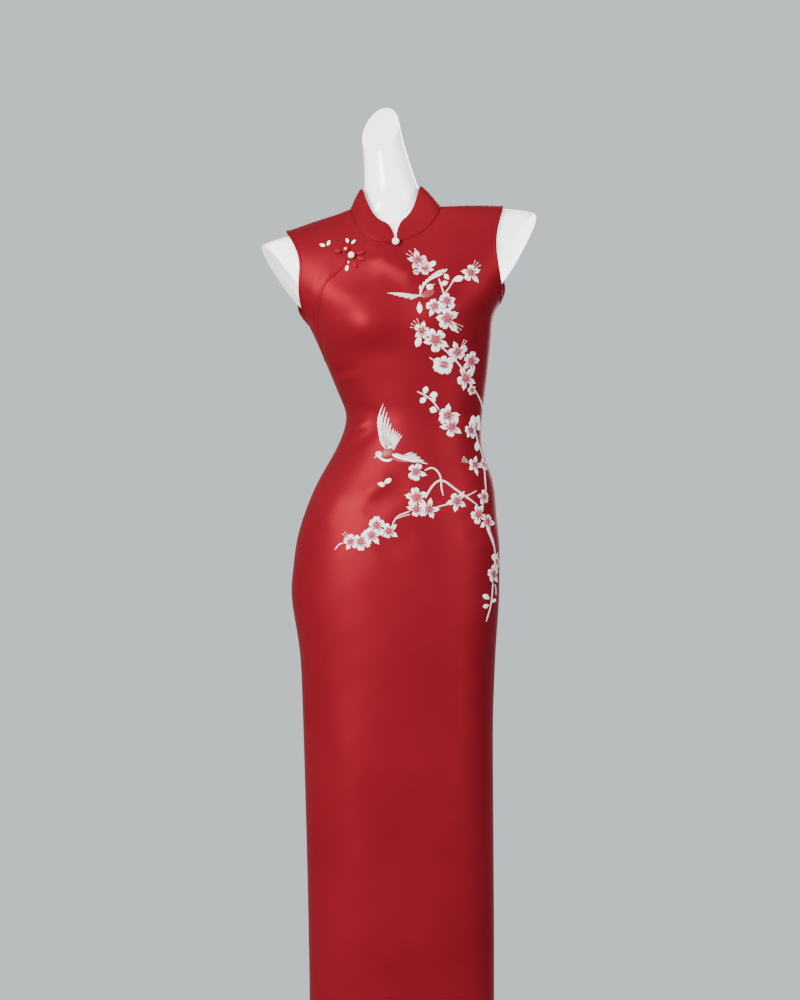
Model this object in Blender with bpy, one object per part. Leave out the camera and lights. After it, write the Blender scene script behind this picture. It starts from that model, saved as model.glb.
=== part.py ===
"""A fitted, sleeveless cheongsam on a limbless dress form. Metres, +Z up, the front towards -Y.

One table of level sections describes the form's figure. Every cloth piece is a wall that follows the
figure at its own ply, between edges cut on it, so front, back, collar and trim share one shape.
The figure stands in a soft S, so sections are "level" heights that a shear tilts towards the shoulders.
"""

import itertools
import math

import bmesh
import bpy
import numpy as np
from mathutils import Matrix, Vector

# Plies, from the form outwards
CLOTH = 0.001
GAP = 0.0003
EASE = 0.0026
UNDER_PLY = EASE + CLOTH
OUTER_PLY = UNDER_PLY + GAP + CLOTH

# Lengths of the dress, as level heights above the floor
HEM = 0.10
SLIT_TOP = 0.655
OVERLAP_FOOT = 1.214
UNDERARM = 1.284
SHOULDER_TIP = 1.4345
NECK_LEFT = 1.4596
NECK_RIGHT = 1.446
NECK_FRONT = 1.3895
NECK_BACK = 1.440
NECK_X = -0.0048
SLIT_SPREAD = 0.03

# The tilt of the shoulders
TILT = 0.116
TILT_X = -0.005
TILT_FROM = 1.10
TILT_TO = 1.30

# Bust cups on the general figure
CUP_X = 0.068
CUP_HEIGHT = 1.262
CUP_DEPTH = 0.010
CUP_WIDTH = 0.042

# The collar band
COLLAR_CENTRE = (-0.0125, 0.0085)
COLLAR_HALF = (0.0515, 0.0625)
COLLAR_RISE = 0.034
COLLAR_ROUND = 0.024
COLLAR_END = 0.15
COLLAR_SPLIT = 0.08

# The form and its stand
FORM_FOOT = 0.70
FORM_TOP = 1.68
FORM_ROWS = ((FORM_FOOT, 18), (1.26, 9), (1.41, 5), (1.43, 16), (1.462, 7), (FORM_TOP, 0))
FORM_SIDES = 30
FOOT_SHRINK = 0.10
FOOT_ROUND = 0.03

# Where the form is a little slimmer than the figure under the cloth: level height, share, reach up and down
PINCHES = ((1.294, 0.06, 0.03), (1.450, 0.14, 0.024))

# The cuts: x, level height, lean outwards and turn to the front of each shoulder's; x, height, fall across
# and rake of the neck's
SHOULDER_CUTS = ((-0.1850, 1.357, 0.62, 0.20), (0.1845, 1.355, 0.60, 0.25))
CUT_LEDGE = 1.262
NECK_CUT = (-0.0629, 1.5617, 0.658, 1.16)
CUT_BLOCK = 0.3
SOCKET_RADIUS = 0.032
SOCKET_HEIGHT = 0.022
POLE_RADIUS = 0.0125
BASE_RADIUS = 0.17
BASE_HEIGHT = 0.012
BOSS_RADIUS = 0.03
BOSS_HEIGHT = 0.03

# Sections of the figure: level height, left, right and middle x, y of the side, depth of the front and
# of the back from it, and the squareness of the outline
SECTIONS = np.array([
    (0.060, -0.1422, 0.1526, 0.0050, 0.004, 0.084, 0.086, 2.3),
    (0.310, -0.1460, 0.1526, 0.0033, 0.004, 0.088, 0.090, 2.3),
    (0.561, -0.1526, 0.1510, -0.0008, 0.004, 0.096, 0.102, 2.3),
    (0.660, -0.1559, 0.1526, -0.0016, 0.004, 0.100, 0.110, 2.3),
    (0.734, -0.1609, 0.1559, -0.0025, 0.004, 0.103, 0.117, 2.25),
    (0.808, -0.1724, 0.1609, -0.0058, 0.004, 0.106, 0.124, 2.2),
    (0.858, -0.1708, 0.1617, -0.0045, 0.004, 0.107, 0.123, 2.2),
    (0.907, -0.1642, 0.1609, -0.0017, 0.004, 0.106, 0.114, 2.2),
    (0.957, -0.1493, 0.1559, 0.0033, 0.004, 0.103, 0.100, 2.2),
    (1.006, -0.1279, 0.1510, 0.0116, 0.004, 0.097, 0.087, 2.15),
    (1.056, -0.0998, 0.1345, 0.0173, 0.004, 0.089, 0.077, 2.1),
    (1.105, -0.0833, 0.1328, 0.0247, 0.004, 0.084, 0.076, 2.1),
    (1.140, -0.0910, 0.1370, 0.0230, 0.004, 0.087, 0.080, 2.1),
    (1.180, -0.1064, 0.1427, 0.0181, 0.005, 0.094, 0.087, 2.15),
    (1.229, -0.1246, 0.1485, 0.0119, 0.006, 0.104, 0.095, 2.25),
    (1.262, -0.1378, 0.1530, 0.0076, 0.007, 0.108, 0.099, 2.35),
    (1.284, -0.1480, 0.1660, 0.0050, 0.008, 0.107, 0.101, 2.4),
    (1.300, -0.1600, 0.1770, 0.0030, 0.009, 0.105, 0.101, 2.4),
    (1.320, -0.1800, 0.1920, 0.0010, 0.010, 0.101, 0.100, 2.4),
    (1.354, -0.2120, 0.2220, -0.0020, 0.012, 0.092, 0.095, 2.4),
    (1.390, -0.2340, 0.2380, -0.0050, 0.014, 0.080, 0.086, 2.4),
    (1.414, -0.2360, 0.2350, -0.0056, 0.015, 0.068, 0.073, 2.35),
    (1.426, -0.2250, 0.2160, -0.0060, 0.015, 0.060, 0.064, 2.3),
    (1.4345, -0.1850, 0.1720, -0.0062, 0.015, 0.054, 0.057, 2.25),
    (1.440, -0.1600, 0.1250, -0.0065, 0.015, 0.050, 0.053, 2.2),
    (1.446, -0.1340, 0.0680, -0.0070, 0.015, 0.048, 0.051, 2.1),
    (1.4596, -0.0776, 0.0490, -0.0095, 0.014, 0.047, 0.049, 2.05),
    (1.486, -0.0580, 0.0325, -0.0127, 0.011, 0.045, 0.047, 2.0),
    (1.540, -0.0580, 0.0140, -0.0220, 0.006, 0.040, 0.042, 2.0),
    (1.592, -0.0620, 0.0010, -0.0305, 0.002, 0.036, 0.038, 2.0),
    (1.700, -0.0670, -0.0200, -0.0435, -0.004, 0.032, 0.034, 2.0),
])
COLUMN = {name: i for i, name in enumerate(
    ("height", "left", "right", "middle", "side_y", "front", "back", "square"))}

# The overlap edge, side seam to neck, and the armholes' edges between underarm and tip: x, level height
OVERLAP_EDGE = ((-0.1290, 1.262), (-0.1285, 1.300), (-0.1200, 1.335), (-0.1030, 1.351),
                (-0.0790, 1.3725), (-0.0550, 1.3830), (-0.0280, 1.3870))
ARMHOLES = {
    ("left", "front"): ((-0.1575, 1.312), (-0.1610, 1.345), (-0.1625, 1.387)),
    ("right", "front"): ((0.1630, 1.312), (0.1575, 1.3525), (0.1590, 1.392)),
    ("left", "back"): ((-0.1650, 1.312), (-0.1680, 1.350), (-0.1710, 1.390)),
    ("right", "back"): ((0.1740, 1.312), (0.1700, 1.350), (0.1680, 1.390)),
}

# Rows of every bodice piece, from the overlap's foot to the underarm and on round the armhole
SEAM_SHARE = 0.3
SEAM_ROWS = 3
ARMHOLE_ROWS = 13

# Columns of the top edges, left to right. Front: overlap, half neckline, shoulder. Underlap: shoulder, half
# neckline. Back: each shoulder, each half neckline
FRONT_TOP = (5, 8, 5)
UNDERLAP_TOP = (5, 6)
BACK_TOP = (6, 4)
OVERLAP_BEND = 0.57
EVENING_ROUNDS = 400

# Soft folds of the front: ends as x and level height, then half width and rise of the ridge
FOLDS = (
    (-0.046, 1.380, 0.038, 1.318, 0.014, 0.0022),
    (-0.105, 1.352, -0.020, 1.332, 0.012, -0.0016),
    (-0.100, 1.178, -0.066, 1.190, 0.010, -0.0012),
    (-0.092, 1.038, -0.050, 1.068, 0.011, 0.0018),
    (-0.038, 0.955, 0.004, 0.994, 0.016, -0.0014),
)

# Plain parts' sizes: the binding, the pearls, and the knot's pieces in its own flat frame
BINDING_WIDTH = 0.005
BINDING_THICKNESS = 0.001
BINDING_FLARE = 0.0009
COLLAR_PEARL = 0.0060
KNOT_PEARL = 0.0054
KNOT_CENTRE = (-0.0760, 1.3740)
CORD = 0.0013
KNOT_COIL = (-0.0097, 0.0129, 0.0044)
KNOT_LOOPS = (
    (-0.0225, 0.0110, 0.0115, 0.0085, 170),
    (0.0140, 0.0042, 0.0145, 0.0070, 12),
    (0.0145, -0.0060, 0.0145, 0.0065, -20),
    (0.0055, -0.0142, 0.0115, 0.0060, -65),
)
KNOT_PETALS = (
    (-0.0470, 0.0240, 0.0100, 0.0056, 155),
    (-0.0370, 0.0262, 0.0100, 0.0056, 70),
    (-0.0070, 0.0262, 0.0092, 0.0050, 110),
    (0.0030, 0.0228, 0.0090, 0.0048, 50),
    (-0.0073, -0.0185, 0.0100, 0.0058, -100),
)
KNOT_BEADS = ((-0.0097, 0.0129, 0.0021), (-0.0048, -0.0095, 0.0019))
PETAL_THICKNESS = 0.0026
FAR_PETALS = -0.03

COLOURS = {
    "satin": ((0.36, 0.012, 0.022, 1), 0.35, 0.0),
    "white_gloss": ((0.90, 0.91, 0.90, 1), 0.15, 0.0),
    "pearl": ((0.92, 0.88, 0.83, 1), 0.18, 0.0),
    "red_cord": ((0.45, 0.02, 0.03, 1), 0.5, 0.0),
    "steel": ((0.75, 0.75, 0.76, 1), 0.22, 1.0),
}


# ---------------------------------------------------------------- the figure's surface

def spline(values, steps):
    """A natural cubic spline through rows of values, with this many steps from each row to the next."""
    values = np.asarray(values, float)
    count = len(values)
    matrix = np.eye(count)
    target = np.zeros_like(values)
    for i in range(1, count - 1):
        matrix[i, i - 1:i + 2] = (1, 4, 1)
        target[i] = 6 * (values[i - 1] - 2 * values[i] + values[i + 1])
    bend = np.linalg.solve(matrix, target)
    along = np.linspace(0, count - 1, (count - 1) * steps + 1)
    i = np.minimum(along.astype(int), count - 2)
    t = (along - i)[:, None]
    return ((1 - t) * values[i] + t * values[i + 1]
            + ((1 - t) ** 3 - (1 - t)) * bend[i] / 6 + (t ** 3 - t) * bend[i + 1] / 6)


FINE = spline(SECTIONS, 60)


def size(name, w):
    """One column of the sections at these level heights."""
    return np.interp(w, FINE[:, 0], FINE[:, COLUMN[name]])


def smooth_step(t):
    t = np.clip(t, 0, 1)
    return t * t * (3 - 2 * t)


def tilt(w):
    return TILT * smooth_step((w - TILT_FROM) / (TILT_TO - TILT_FROM))


def level(x, z):
    """The level height of a point at this x and true height."""
    w = np.array(z, float)
    for _ in range(8):
        w = z - tilt(w) * (x - TILT_X)
    return w


def half_width(x, w):
    middle = size("middle", w)
    return np.where(x < middle, middle - size("left", w), size("right", w) - middle)


def depth(x, w, front):
    across = x - size("middle", w)
    cups = sum(np.exp(-((across - side * CUP_X) / CUP_WIDTH) ** 2) for side in (-1, 1))
    bust = CUP_DEPTH * cups * np.exp(-((w - CUP_HEIGHT) / CUP_WIDTH) ** 2)
    return np.where(front, size("front", w) + bust, size("back", w))


def on_figure(x, w, front=True):
    """Points of the figure at x and level height, on its front or its back."""
    x, w = np.broadcast_arrays(np.asarray(x, float), np.asarray(w, float))
    power = size("square", w)
    across = np.clip(np.abs(x - size("middle", w)) / half_width(x, w), 0, 1)
    reach = depth(x, w, front) * (1 - across ** power) ** (1 / power)
    y = size("side_y", w) + np.where(front, -reach, reach)
    return np.stack([x, y, w + tilt(w) * (x - TILT_X)], axis=-1)


def field(p):
    """Zero on the figure, over zero outside it."""
    x, y, z = p[..., 0], p[..., 1], p[..., 2]
    w = level(x, z)
    power = size("square", w)
    deep = y - size("side_y", w)
    across = np.abs(x - size("middle", w)) / half_width(x, w)
    return across ** power + (np.abs(deep) / depth(x, w, deep < 0)) ** power - 1


def slope(p):
    step = 0.0002
    change = [field(p + step * axis) - field(p - step * axis) for axis in np.eye(3)]
    return np.stack(change, axis=-1) / (2 * step)


def normal(p):
    out = slope(p)
    return out / np.linalg.norm(out, axis=-1, keepdims=True)


def fold(x, w):
    """How far the folds lift the front at these points."""
    rise = np.zeros(np.shape(x))
    for x0, w0, x1, w1, width, height in FOLDS:
        run = np.array([x1 - x0, w1 - w0])
        along = ((x - x0) * run[0] + (w - w0) * run[1]) / (run ** 2).sum()
        off = np.hypot(x - x0 - np.clip(along, 0, 1) * run[0], w - w0 - np.clip(along, 0, 1) * run[1])
        rise += height * np.exp(-(off / width) ** 2) * smooth_step(2 - 4 * np.abs(along - 0.5))
    return rise


def turned_x(turn, w):
    """x on the section at w, for a turn of -1 (left side) through 0 (middle) to 1 (right side)."""
    turn, w = np.broadcast_arrays(turn, w)
    bend = np.abs(np.sin(turn * math.pi / 2)) ** (2 / size("square", w))
    side = np.where(turn < 0, size("left", w), size("right", w))
    return size("middle", w) + (side - size("middle", w)) * bend


# ---------------------------------------------------------------- edges, as x and level height

def curve_at(points, t):
    """Points at 0 to 1 along a smooth curve through these, by length."""
    fine = spline(points, 30)
    run = np.concatenate([[0], np.cumsum(np.linalg.norm(np.diff(fine, axis=0), axis=1))])
    return np.stack([np.interp(t * run[-1], run, fine[:, i]) for i in (0, 1)], axis=-1)


def side_x(side, w):
    return float(size(side, w))


def armhole(side, face, t):
    """The armhole's edge from underarm to shoulder tip, closer together at both ends."""
    points = [(side_x(side, UNDERARM), UNDERARM), *ARMHOLES[side, face],
              (side_x(side, SHOULDER_TIP), SHOULDER_TIP)]
    edge = curve_at(points, (1 - np.cos(np.pi * t)) / 2)
    edge[t <= 0] = points[0]
    edge[t >= 1] = points[-1]
    return edge


def side_edge(side, face, t):
    """Side seam from the overlap's foot to the underarm, then the armhole."""
    seam_w = OVERLAP_FOOT + (UNDERARM - OVERLAP_FOOT) * np.clip(t / SEAM_SHARE, 0, 1)
    seam = np.stack([size(side, seam_w), seam_w], axis=-1)
    hole = armhole(side, face, np.clip((t - SEAM_SHARE) / (1 - SEAM_SHARE), 0, 1))
    return np.where((t < SEAM_SHARE)[:, None], seam, hole)


def shoulder(side, t):
    """The shoulder seam from tip to neck."""
    w = SHOULDER_TIP + ({"left": NECK_LEFT, "right": NECK_RIGHT}[side] - SHOULDER_TIP) * t
    return np.stack([size(side, w), w], axis=-1)


def neckline(side, face, t):
    """The neckline from the centre to the shoulder seam."""
    end_w = {"left": NECK_LEFT, "right": NECK_RIGHT}[side]
    low_w = {"front": NECK_FRONT, "back": NECK_BACK}[face]
    end_x = side_x(side, end_w)
    angle = t * math.pi / 2
    return np.stack([NECK_X + (end_x - NECK_X) * np.sin(angle),
                     end_w - (end_w - low_w) * np.cos(angle)], axis=-1)


def overlap_edge(t):
    """The curved edge of the main front, from the side seam to the centre of the neckline."""
    foot = (side_x("left", OVERLAP_FOOT), OVERLAP_FOOT)
    return curve_at([foot, *OVERLAP_EDGE, (NECK_X, NECK_FRONT)], t)


def joined(*stretches):
    """Stretches of an edge end to end, each shared end once."""
    return np.concatenate([stretches[0], *(stretch[1:] for stretch in stretches[1:])])


def steps(count):
    """From 0 to 1 in this many equal steps."""
    return np.linspace(0, 1, count + 1)


def rows_up(armhole_rows):
    """How far up the side edge each row starts: even along the seam, then closer towards the shoulder."""
    seam = np.linspace(0, SEAM_SHARE, SEAM_ROWS, endpoint=False)
    hole = np.sin(steps(armhole_rows - 1) * math.pi / 2)
    return np.concatenate([seam, SEAM_SHARE + (1 - SEAM_SHARE) * hole])


def patch(bottom, top, left, right, s, t):
    """The grid between four edges, of points at s across and t up, evened out so that no cell folds."""
    s_, t_ = s[None, :, None], t[:, None, None]
    corners = ((1 - t_) * ((1 - s_) * bottom[0] + s_ * bottom[-1])
               + t_ * ((1 - s_) * top[0] + s_ * top[-1]))
    grid = ((1 - t_) * bottom[None] + t_ * top[None]
            + (1 - s_) * left[:, None] + s_ * right[:, None] - corners)
    step = s[1] - s[0]
    below, above = (t_[1:-1] - t_[:-2]), (t_[2:] - t_[1:-1])
    for _ in range(EVENING_ROUNDS):
        west, east = grid[1:-1, :-2], grid[1:-1, 2:]
        south, north = grid[:-2, 1:-1], grid[2:, 1:-1]
        across, up = (east - west) / (2 * step), (north - south) / (below + above)
        along = (up ** 2).sum(-1, keepdims=True) / step ** 2
        upward = (across ** 2).sum(-1, keepdims=True) / (below * above)
        skew = (across * up).sum(-1, keepdims=True) / (step * (below + above))
        twist = grid[2:, 2:] - grid[2:, :-2] - grid[:-2, 2:] + grid[:-2, :-2]
        grid[1:-1, 1:-1] = (along * (east + west) - skew * twist
                            + 2 * upward * (below * north + above * south) / (below + above)
                            ) / (2 * (along + upward))
    return grid


# ---------------------------------------------------------------- building solids

def material(name, colour):
    tint, roughness, metallic = COLOURS[colour]
    made = bpy.data.materials.new(name)
    made.use_nodes = True
    shader = made.node_tree.nodes["Principled BSDF"]
    shader.inputs["Base Color"].default_value = tint
    shader.inputs["Roughness"].default_value = roughness
    shader.inputs["Metallic"].default_value = metallic
    made.diffuse_color = tint
    return made


def finish(name, bm, colour, sharp=40):
    """Turns a bmesh into a named object with its own material."""
    bmesh.ops.recalc_face_normals(bm, faces=bm.faces)
    mesh = bpy.data.meshes.new(name)
    bm.to_mesh(mesh)
    bm.free()
    mesh.shade_smooth()
    mesh.set_sharp_from_angle(angle=math.radians(sharp))
    mesh.materials.append(material(name, colour))
    obj = bpy.data.objects.new(name, mesh)
    bpy.context.scene.collection.objects.link(obj)
    return obj


def wall(name, outer, inner, colour="satin"):
    """A closed sheet between two grids of points."""
    rows, columns = outer.shape[:2]
    bm = bmesh.new()
    skins = [[[bm.verts.new(point) for point in row] for row in grid] for grid in (outer, inner)]
    for skin in skins:
        for r in range(rows - 1):
            for c in range(columns - 1):
                bm.faces.new((skin[r][c], skin[r][c + 1], skin[r + 1][c + 1], skin[r + 1][c]))
    rim = ([(0, c) for c in range(columns)] + [(r, columns - 1) for r in range(1, rows)]
           + [(rows - 1, c) for c in range(columns - 2, -1, -1)] + [(r, 0) for r in range(rows - 2, 0, -1)])
    for (r, c), (r2, c2) in zip(rim, rim[1:] + rim[:1]):
        bm.faces.new((skins[0][r][c], skins[0][r2][c2], skins[1][r2][c2], skins[1][r][c]))
    bmesh.ops.remove_doubles(bm, verts=bm.verts, dist=0.00002)
    return finish(name, bm, colour)


def ring_of_sections(name, sections, colour):
    """A closed loop of closed sections, such as a band or a cord joined end to end."""
    bm = bmesh.new()
    rings = [[bm.verts.new(point) for point in section] for section in sections]
    sides = len(rings[0])
    for ring, after in zip(rings, rings[1:] + rings[:1]):
        for i in range(sides):
            j = (i + 1) % sides
            bm.faces.new((ring[i], ring[j], after[j], after[i]))
    return finish(name, bm, colour)


def cloth_wall(name, grid, front, outer_ply):
    """A panel of cloth on a grid of x and level height, half a seam gap clear of the panel it meets.

    Returns its grid at the outermost ply, for what lies on it.
    """
    x, w = grid[..., 0], grid[..., 1]
    points = on_figure(x, w, front)
    out = normal(points)
    lift = fold(x, w)[..., None] if front else 0.0
    shift = np.array([0, -GAP / 2 if front else GAP / 2, 0])
    figure = points + out * lift + shift
    wall(name, figure + out * outer_ply, figure + out * (outer_ply - CLOTH))
    return figure + out * OUTER_PLY


# ---------------------------------------------------------------- the dress

def skirt_grid(columns):
    """Rows from the hem up to the overlap's foot; below the slit's top the side edges draw apart."""
    rows = np.concatenate([np.linspace(HEM, SLIT_TOP, 8), np.linspace(SLIT_TOP, OVERLAP_FOOT, 17)[1:]])
    turn = np.linspace(-1, 1, columns)
    spread = SLIT_SPREAD * smooth_step((SLIT_TOP - rows) / (SLIT_TOP - HEM))
    turns = turn[None, :] * (1 - spread[:, None])
    return np.stack([turned_x(turns, rows[:, None]), np.broadcast_to(rows[:, None], turns.shape)], axis=-1)


def front_grid():
    """The main front: its left edge runs up the overlap to its bend, its top on to the neck and shoulder."""
    over, neck, seam = FRONT_TOP
    top = joined(overlap_edge(OVERLAP_BEND + (1 - OVERLAP_BEND) * steps(over)),
                 neckline("right", "front", steps(neck)), shoulder("right", steps(seam))[::-1])
    s, t = steps(len(top) - 1), rows_up(ARMHOLE_ROWS)
    skirt = skirt_grid(len(top))
    bodice = patch(skirt[-1], top, overlap_edge(t * OVERLAP_BEND), side_edge("right", "front", t), s, t)
    return np.concatenate([skirt, bodice[1:]])


def underlap_grid(front):
    """From the side seam and armhole to the overlap edge, then a tuck on under the front."""
    over = FRONT_TOP[0]
    rows = SEAM_ROWS + ARMHOLE_ROWS - 1
    right = np.concatenate([front[-rows:, 0], front[-1, 1:over + 1]])
    tuck = np.concatenate([front[-rows:-1, 1], front[-2:-1, 1], front[-2, 1:over + 1]])
    t = rows_up(len(right) - SEAM_ROWS + 1)[1:]
    left = side_edge("left", "front", t)
    seam, neck = UNDERLAP_TOP
    top = joined(shoulder("left", steps(seam)), neckline("left", "front", steps(neck))[::-1])
    s = steps(len(top) - 1)
    bottom = left[0] + (right[0] - left[0]) * s[:, None]
    seen = patch(bottom, top, left, right, s, (t - t[0]) / (1 - t[0]))
    return np.concatenate([seen, tuck[:, None]], axis=1)


def back_grid():
    seam, neck = BACK_TOP
    top = joined(shoulder("left", steps(seam)), neckline("left", "back", steps(neck))[::-1],
                 neckline("right", "back", steps(neck)), shoulder("right", steps(seam))[::-1])
    s, t = steps(len(top) - 1), rows_up(ARMHOLE_ROWS)
    skirt = skirt_grid(len(top))
    bodice = patch(skirt[-1], top, side_edge("left", "back", t), side_edge("right", "back", t), s, t)
    return np.concatenate([skirt, bodice[1:]])


def build_collar(front_skin, underlap_skin, back_skin):
    """A band that stands on the neckline and leans in to an oval rim; its front ends are rounded."""
    front_start, front_end = FRONT_TOP[0], FRONT_TOP[0] + FRONT_TOP[1]
    back_start, back_end = BACK_TOP[0], BACK_TOP[0] + 2 * BACK_TOP[1]
    foot = np.concatenate([front_skin[-1, front_start:front_end + 1],
                           back_skin[-1, back_start:back_end][::-1],
                           underlap_skin[-1, UNDERLAP_TOP[0] + 1:sum(UNDERLAP_TOP) + 1]])
    foot[0] += COLLAR_SPLIT * (foot[1] - foot[0])
    foot[-1] += COLLAR_SPLIT * (foot[-2] - foot[-1])
    angle = np.arctan2(foot[:, 0] - COLLAR_CENTRE[0], COLLAR_CENTRE[1] - foot[:, 1])
    rim = np.stack([COLLAR_CENTRE[0] + COLLAR_HALF[0] * np.sin(angle),
                    COLLAR_CENTRE[1] - COLLAR_HALF[1] * np.cos(angle),
                    foot[:, 2] + COLLAR_RISE], axis=-1)
    run = np.concatenate([[0], np.cumsum(np.linalg.norm(np.diff(foot, axis=0), axis=1))])
    ends = np.clip(np.minimum(run, run[-1] - run) / COLLAR_ROUND, 0, 1)
    tall = COLLAR_END + (1 - COLLAR_END) * np.sqrt(1 - (1 - ends) ** 2)
    rise = (rim - foot) * tall[:, None]
    start = GAP * 1.5 / np.linalg.norm(rise, axis=1)[:, None]
    outer = np.stack([foot + rise * start, foot + rise / 2, foot + rise])
    out = np.cross(np.gradient(foot, axis=0), rise)
    out /= np.linalg.norm(out, axis=1, keepdims=True)
    wall("collar", outer, outer - np.stack([normal(foot), out, out]) * CLOTH)


def build_binding(side, front_skin, front_rows, back_skin):
    """A flat band on both panels along the armhole, its outer edge even with theirs."""
    column = 0 if side == "left" else -1
    loop = np.concatenate([front_skin[-front_rows:, column], back_skin[-2:-ARMHOLE_ROWS:-1, column]])
    out = normal(loop)
    along = np.roll(loop, -1, axis=0) - np.roll(loop, 1, axis=0)
    inward = np.cross(along, out) if side == "left" else np.cross(out, along)
    inward *= BINDING_WIDTH / np.linalg.norm(inward, axis=1, keepdims=True)
    inner = loop + inward + out * BINDING_FLARE
    low, high = out * GAP, out * (GAP + BINDING_THICKNESS)
    sections = np.stack([loop + low, loop + high, inner + high, inner + low], axis=1)
    ring_of_sections(f"armhole_binding_{side}", sections, "satin")


# ---------------------------------------------------------------- pearls and the flower knot

def seat(x, w, lift):
    """A frame on the front: across, up the cloth and out of it, at this lift."""
    point = on_figure(x, w)
    out = Vector(normal(point))
    across = Vector((1, 0, 0))
    across = (across - out * across.dot(out)).normalized()
    frame = Matrix((across, out.cross(across), out)).transposed().to_4x4()
    frame.translation = Vector(point) + out * lift
    return frame


def ball(name, frame, radii, colour, subdivisions=2):
    bm = bmesh.new()
    bmesh.ops.create_icosphere(bm, subdivisions=subdivisions, radius=1)
    bmesh.ops.transform(bm, matrix=frame @ Matrix.Diagonal((*radii, 1)), verts=bm.verts)
    return finish(name, bm, colour, 80)


def knot_frame(across, up, lift, angle=0.0):
    """A frame at this place in the knot, turned on the cloth."""
    x, w = KNOT_CENTRE[0] + across, KNOT_CENTRE[1] + up
    return seat(x, w, lift) @ Matrix.Rotation(math.radians(angle), 4, "Z")


def cord_loop(name, frame, length, width, steps=16, sides=6):
    """A round cord bent into a closed leaf-shaped loop, lying on the frame's plane."""
    sections = []
    for i in range(steps):
        a = 2 * math.pi * i / steps
        pinch = 1 - 0.35 * (1 - math.cos(a)) / 2
        centre = Vector((length / 2 * math.cos(a), width / 2 * math.sin(a) * pinch, 0))
        outward = Vector((math.cos(a) * width, math.sin(a) * length, 0)).normalized()
        section = []
        for j in range(sides):
            b = 2 * math.pi * j / sides
            offset = outward * (CORD * math.cos(b)) + Vector((0, 0, CORD * math.sin(b)))
            section.append(frame @ (centre + offset))
        sections.append(section)
    return ring_of_sections(name, sections, "red_cord")


def build_knot():
    top = OUTER_PLY + GAP
    under = UNDER_PLY + GAP
    ball("knot_pearl", knot_frame(0, 0, top + KNOT_PEARL), (KNOT_PEARL,) * 3, "pearl")
    across, up, radius = KNOT_COIL
    cord_loop("knot_coil", knot_frame(across, up, top + CORD), 2 * radius, 2 * radius * 1.2)
    for i, (across, up, length, width, angle) in enumerate(KNOT_LOOPS):
        cord_loop(f"knot_loop_{i + 1}", knot_frame(across, up, top + CORD, angle),
                  length - 2 * CORD, width - 2 * CORD)
    for i, (across, up, length, width, angle) in enumerate(KNOT_PETALS):
        ply = top if across > FAR_PETALS else under
        ball(f"knot_petal_{i + 1}", knot_frame(across, up, ply + PETAL_THICKNESS / 2 + GAP, angle),
             (length / 2, width / 2, PETAL_THICKNESS / 2), "pearl")
    for i, (across, up, radius) in enumerate(KNOT_BEADS):
        ball(f"knot_bead_{i + 1}", knot_frame(across, up, top + radius), (radius,) * 3, "pearl", 1)


def build_collar_pearl():
    ball("collar_pearl", seat(NECK_X, NECK_FRONT - 0.002, OUTER_PLY + GAP + COLLAR_PEARL),
         (COLLAR_PEARL,) * 3, "pearl")


# ---------------------------------------------------------------- the form and its stand

def cutter(name, corner, edges):
    """A block that removes what lies beyond a plane: it has a corner, and three edges from it."""
    bm = bmesh.new()
    corner = Vector(corner)
    for i, j, k in itertools.product((0, 1), repeat=3):
        bm.verts.new(corner + edges[0] * i + edges[1] * j + edges[2] * k)
    bmesh.ops.convex_hull(bm, input=bm.verts)
    obj = finish(name, bm, "white_gloss")
    obj.hide_render = True
    obj.display_type = "WIRE"
    return obj


def shoulder_cutter(name, x, w, lean, turn):
    """Cuts a shoulder along a plane that leans outwards going up and turns a little to the front."""
    side = -1 if x < 0 else 1
    drop = w - CUT_LEDGE
    foot_x = x - side * drop * lean
    foot = Vector((foot_x, 0, CUT_LEDGE + TILT * (foot_x - TILT_X)))
    up = Vector((side * lean, 0, 1 + TILT * side * lean)) * CUT_BLOCK
    back = Vector((side * turn, 1, TILT * side * turn)) * CUT_BLOCK
    away = Vector((side, 0, TILT * side)) * CUT_BLOCK
    return cutter(name, foot - back / 2, (up, back, away))


def neck_cutter():
    x, z, lean, rake = NECK_CUT
    across = Vector((1, 0, lean)) * CUT_BLOCK
    back = Vector((0, 1, rake)) * CUT_BLOCK
    above = Vector((0, 0, CUT_BLOCK))
    return cutter("neck_cutter", Vector((x, 0, z)) - across / 2 - back / 2, (across, back, above))


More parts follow.
